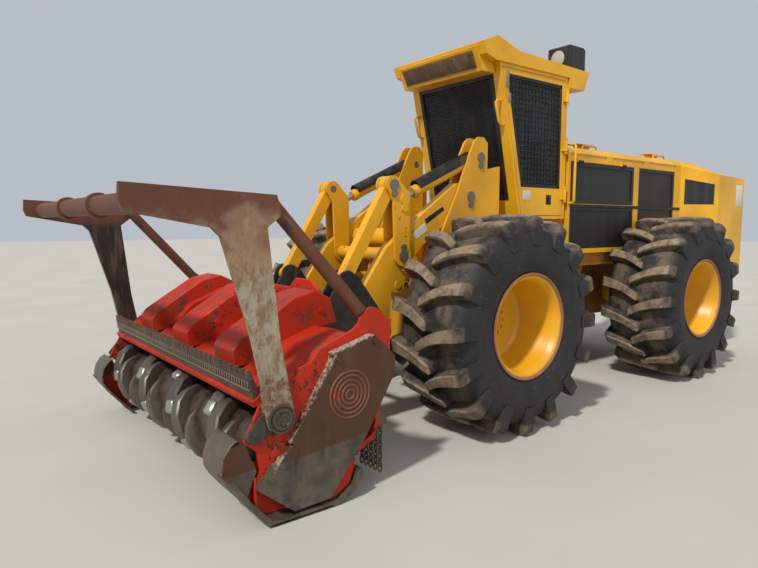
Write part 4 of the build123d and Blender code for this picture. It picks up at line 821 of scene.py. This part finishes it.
# Wear plates and skids: thick steel welded over the side plates, brown above and dark grey below a cut.
# A pale scraped fringe follows the front and top edges, and red shows where the paint holds.
wear_brown = worn_material("wear_plates", (82, 52, 36), (150, 44, 24), chips=0.26, streaks=0.3, low_dust=0.15,
                           gloss=0.5, metal=0.35, bump=0.4, dust=(112, 84, 66))
wear_plate_face = 1.480
tree = wear_brown.node_tree
x, y, z, coords = object_axes(tree)
cut_line = calc(tree, "MULTIPLY_ADD", calc(tree, "SUBTRACT", 3.388, x), 0.0806, 0.362)
below = ramp(tree, calc(tree, "SUBTRACT", z, cut_line), 0.004, -0.004)
second_wear_and_shade(wear_brown, below, (66, 60, 55), (98, 66, 46), 0.3, 0.5)
fringe_noise = calc(tree, "MULTIPLY_ADD", noise(tree, coords, 44.0, 6.0, 0.75), 0.08, -0.040)
fringes = []
for (from_x, from_z), (to_x, to_z) in (((2.973, 0.925), (3.348, 0.379)), ((2.669, 1.051), (2.973, 0.967))):
    run, rise = to_x - from_x, to_z - from_z
    length = math.hypot(run, rise)
    across = calc(tree, "MULTIPLY_ADD", calc(tree, "SUBTRACT", x, from_x), -rise / length,
                  product(tree, calc(tree, "SUBTRACT", z, from_z), run / length))
    across = calc(tree, "ADD", calc(tree, "ABSOLUTE", across), fringe_noise)
    fringes.append(ramp(tree, across, 0.014, -0.004))
fringe = product(tree, calc(tree, "MAXIMUM", *fringes), ramp(tree, x, 3.40, 3.34))
second_wear_and_shade(wear_brown, fringe, (186, 176, 162), (150, 90, 66), 0.35, 0.45)
paint_nodes(wear_brown, "head_wear_plates")

# Weld rings on the wear plates: five rough beads of weld round one centre, red paint left between them.
# Each bead is a ring of round wire, sunk in the plate by half.
weld = worn_material("weld_beads", (112, 64, 46), (176, 58, 36), chips=0.42, streaks=0.1, low_dust=0.2,
                     gloss=0.6, metal=0.2, bump=0.8)
for side, hand in (("left", 1), ("right", -1)):
    beads = Shape()
    for radius in (0.030, 0.060, 0.090, 0.120, 0.148):
        beads.ring((2.849, hand * wear_plate_face, 0.694), (0, 1, 0), radius, 0.0072, steps=40, sides=8)
    beads.piece("weld_rings_" + side, "head", weld, "red", sharp=80.0)

# Bearing lids: a red steel disc over each end of the rotor's shaft, and the wear plate's part on top of it.
# The disc is spun; the cover is the same disc cut along the wear plate's edges, as a slab.
rotor_axis = Vector((3.30, 0.0, 0.40))
lid = [(0.0, 0.0), (0.0, 0.0765), (0.003, 0.0765), (0.004, 0.074), (0.004, 0.0)]
plate_edges = (
    # direction across the edge, room from the shaft to the edge
    ((0.802, 0, 0.597), 0.026),
    ((0.697, 0, 0.717), 0.018),
)
lids = Shape()
covers = Shape()
for hand in (1, -1):
    middle = rotor_axis + Vector((0, hand * (side_plate_face + 0.0012), 0))
    lids.spun(lid, middle, (0, hand, 0), steps=40)
    rim_points = []
    for degrees in range(0, 360, 8):
        out = Vector((math.cos(math.radians(degrees)), 0, math.sin(math.radians(degrees))))
        reach = 0.0772
        for edge_way, room in plate_edges:
            toward = out.dot(Vector(edge_way))
            if toward > 0.01:
                reach = min(reach, room / toward)
        rim_points.append(middle + Vector((0, hand * 0.006, 0)) + out * reach)
    covers.slab(rim_points, (0, hand * 0.0478, 0), 0.001, 1)
lids.piece("bearing_lids", "head", red, "red")
covers.piece("bearing_covers", "head", wear_brown, "red")

# Front shoes: wide curved steel guards, rolled forward and down from the side plates to the skids.
# Each is the roll's outline extruded inwards; a flat sole bar is welded under each skid.
shoe_grey = worn_material("front_shoes", (88, 80, 74), (120, 84, 62), chips=0.3, streaks=0.25, low_dust=0.4,
                          gloss=0.5, metal=0.35, bump=0.5)
roll_line = [(3.585, 0.545), (3.625, 0.520), (3.660, 0.470), (3.680, 0.400), (3.676, 0.340), (3.648, 0.290),
             (3.570, 0.190), (3.500, 0.110), (3.430, 0.045)]
shoe_thickness = 0.014
shoes = Shape()
for hand in (1, -1):
    outer = [Vector((x, hand * (side_plate_face - 0.001), z)) for x, z in roll_line]
    axis_end = rotor_axis + Vector((0, hand * (side_plate_face - 0.001), 0))
    inner = [point + (axis_end - point).normalized() * shoe_thickness for point in outer]
    shoes.slab(outer + inner[::-1], (0, -hand * 0.27, 0), 0.003, 1)
    shoes.box((2.98, hand * 1.37, 0.004), (3.42, hand * 1.486, 0.020), 0.004)
shoes.piece("front_shoes", "head", shoe_grey, "steel")

# Skid gussets: red plates welded in between each side plate's lower edge and the skid under it.
# They are bevelled slabs cut to the inside of the skid, with a cross rib behind the shoe and at the heel.
gusset_line = [(3.655, 0.355), (3.555, 0.205), (3.420, 0.050), (3.360, 0.036), (3.055, 0.036),
               (2.945, 0.044), (2.838, 0.102), (2.802, 0.190), (2.900, 0.300), (3.500, 0.380)]
heel_line = [(2.960, 0.360), (2.786, 0.240), (2.800, 0.190), (2.838, 0.102), (2.945, 0.044), (3.055, 0.036),
             (3.100, 0.120)]
gussets = Shape()
for hand in (1, -1):
    gussets.slab([(x, hand * 1.375, z) for x, z in gusset_line], (0, -hand * 0.016, 0), 0.003, 1)
    gussets.slab([(x, hand * 1.450, z) for x, z in heel_line], (0, -hand * 0.014, 0), 0.003, 1)
    for x, low, high in ((3.470, 0.100, 0.300), (2.860, 0.110, 0.280)):
        gussets.box((x, hand * 1.37, low), (x + 0.014, hand * 1.43, high), 0.003)
gussets.piece("skid_gussets", "head", red, "red")

# Rotor: a steel drum with a double helix of fat rounded cams, bright on the humps and brown between them.
# One pair of cams is cut as a slab with round edges, then duplicated, turned and moved along the drum.
rotor_steel = worn_material("rotor", (94, 88, 80), (76, 60, 48), chips=0.34, streaks=0.2, low_dust=0.2,
                            gloss=0.42, metal=0.5, bump=0.7, dust=(96, 82, 68))
tree = rotor_steel.node_tree
x, y, z, coords = object_axes(tree)
in_groove = ramp(tree, away_from(tree, x, z, rotor_axis), 0.235, 0.200)
second_wear_and_shade(rotor_steel, in_groove, (58, 46, 38), (84, 68, 54), 0.3, 0.8)
cam_count, cam_pitch, cam_turn = 13, 0.192, 50
cam_tilt = math.radians(21)
cam_middle = 62


def cam_helix(outline, wide, round_by):
    """Two slabs on opposite sides of the rotor's axis, tilted, and copied along it with a turn each."""
    shape = Shape()
    for half_turn in (0, 180):
        before = set(shape.mesh.verts)
        turned = [(math.radians(angle + half_turn), r) for angle, r in outline]
        shape.slab([rotor_axis + Vector((r * math.cos(angle), -wide / 2, r * math.sin(angle)))
                    for angle, r in turned], (0, wide, 0), round_by, 1)
        middle = math.radians(cam_middle + half_turn)
        spoke = Vector((math.cos(middle), 0, math.sin(middle)))
        bmesh.ops.rotate(shape.mesh, verts=shape.since(before), cent=rotor_axis,
                         matrix=Matrix.Rotation(cam_tilt, 3, spoke))
    pair = shape.everything()
    for count in range(cam_count):
        verts = shape.copy(pair)
        bmesh.ops.rotate(shape.mesh, verts=verts, cent=rotor_axis,
                         matrix=Matrix.Rotation(math.radians(cam_turn * count), 3, "Y"))
        bmesh.ops.translate(shape.mesh, verts=verts, vec=(0, (count - (cam_count - 1) / 2) * cam_pitch, 0))
    bmesh.ops.delete(shape.mesh, geom=[entry for entry in pair if isinstance(entry, bmesh.types.BMVert)],
                     context="VERTS")
    return shape


cam_outline = [(0, 0.140), (-3, 0.262), (4, 0.290), (20, 0.300), (42, 0.299), (64, 0.286), (84, 0.264),
               (102, 0.236), (118, 0.200), (126, 0.165), (118, 0.130), (60, 0.120)]
rotor = cam_helix(cam_outline, 0.100, 0.012)
rotor.spun([(-1.425, 0.0), (-1.425, 0.068), (-1.309, 0.070), (-1.309, 0.185), (-1.300, 0.192),
            (1.300, 0.192), (1.309, 0.185), (1.309, 0.070), (1.425, 0.068), (1.425, 0.0)], rotor_axis,
           steps=64)
rotor = rotor.piece("cam_rotor", "rotor", rotor_steel, "steel", sharp=30.0)
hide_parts("rotor")

# Rotor teeth: a bright block of hard steel, welded on at each cam's leading end.
# They follow the cams' helix as bevelled slabs.
tooth_steel = worn_material("rotor_tooth", (168, 164, 158), (110, 96, 84), chips=0.3, streaks=0.05,
                            low_dust=0.1, gloss=0.3, metal=0.7, bump=0.4)
tooth_outline = [(-9, 0.225), (-10, 0.285), (-6, 0.304), (8, 0.304), (11, 0.285), (10, 0.225)]
teeth = cam_helix(tooth_outline, 0.070, 0.006)
teeth.piece("rotor_teeth", "rotor", tooth_steel, "steel")

# Chain curtain: short steel chains side by side under the housing, hung from a flat bar.
# One strand of five wire links turned edge to edge is spun, then duplicated along the bar.
chain_steel = worn_material("chain_steel", (86, 80, 72), (104, 74, 52), chips=0.4, streaks=0.2, low_dust=0.4,
                            gloss=0.5, metal=0.5)
link_radius, link_wire, link_pitch, link_stretch = 0.0150, 0.0062, 0.041, 1.75


def hang_strands(shape, top, link_count, strand_count, step):
    """A strand of links hung from a point, then copied across the machine."""
    for row in range(link_count):
        middle = Vector(top) - Vector((0, 0, row * link_pitch))
        verts = shape.ring(middle, (0, 1, 0) if row % 2 else (1, 0, 0), link_radius, link_wire, steps=12)
        bmesh.ops.scale(shape.mesh, verts=verts, vec=(1.0, 1.0, link_stretch),
                        space=Matrix.Translation(-middle))
    strand = shape.everything()
    for count in range(1, strand_count):
        bmesh.ops.translate(shape.mesh, verts=shape.copy(strand), vec=(0, count * step, 0))


curtain = Shape()
hang_strands(curtain, (2.706, -1.30, 0.212), 5, 49, 2.60 / 48)
bar = [(2.680, 0.291), (2.740, 0.262), (2.740, 0.222), (2.690, 0.222)]
curtain.slab([(x, -1.344, z) for x, z in bar], (0, 2.688, 0), 0.003, 1)
curtain = curtain.piece("chain_links", "head", chain_steel, "steel", sharp=60.0)
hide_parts("chain_curtain")

# Rear corner chains: longer strands of the same chain behind each side plate, hung under a bracket plate.
# Strands are rings of wire, duplicated and mirrored; the plate is a bevelled slab welded to the housing.
corner = Shape()
hang_strands(corner, (2.508, 1.14, 0.375), 8, 5, 0.052)
hanger = [(2.545, 0.395), (2.475, 0.405), (2.475, 0.430), (2.560, 0.560)]
corner.slab([(x, 1.10, z) for x, z in hanger], (0, 0.28, 0), 0.003, 1)
bmesh.ops.mirror(corner.mesh, geom=corner.everything(), axis="Y")
corner.piece("corner_chains", "head", chain_steel, "steel", sharp=60.0)
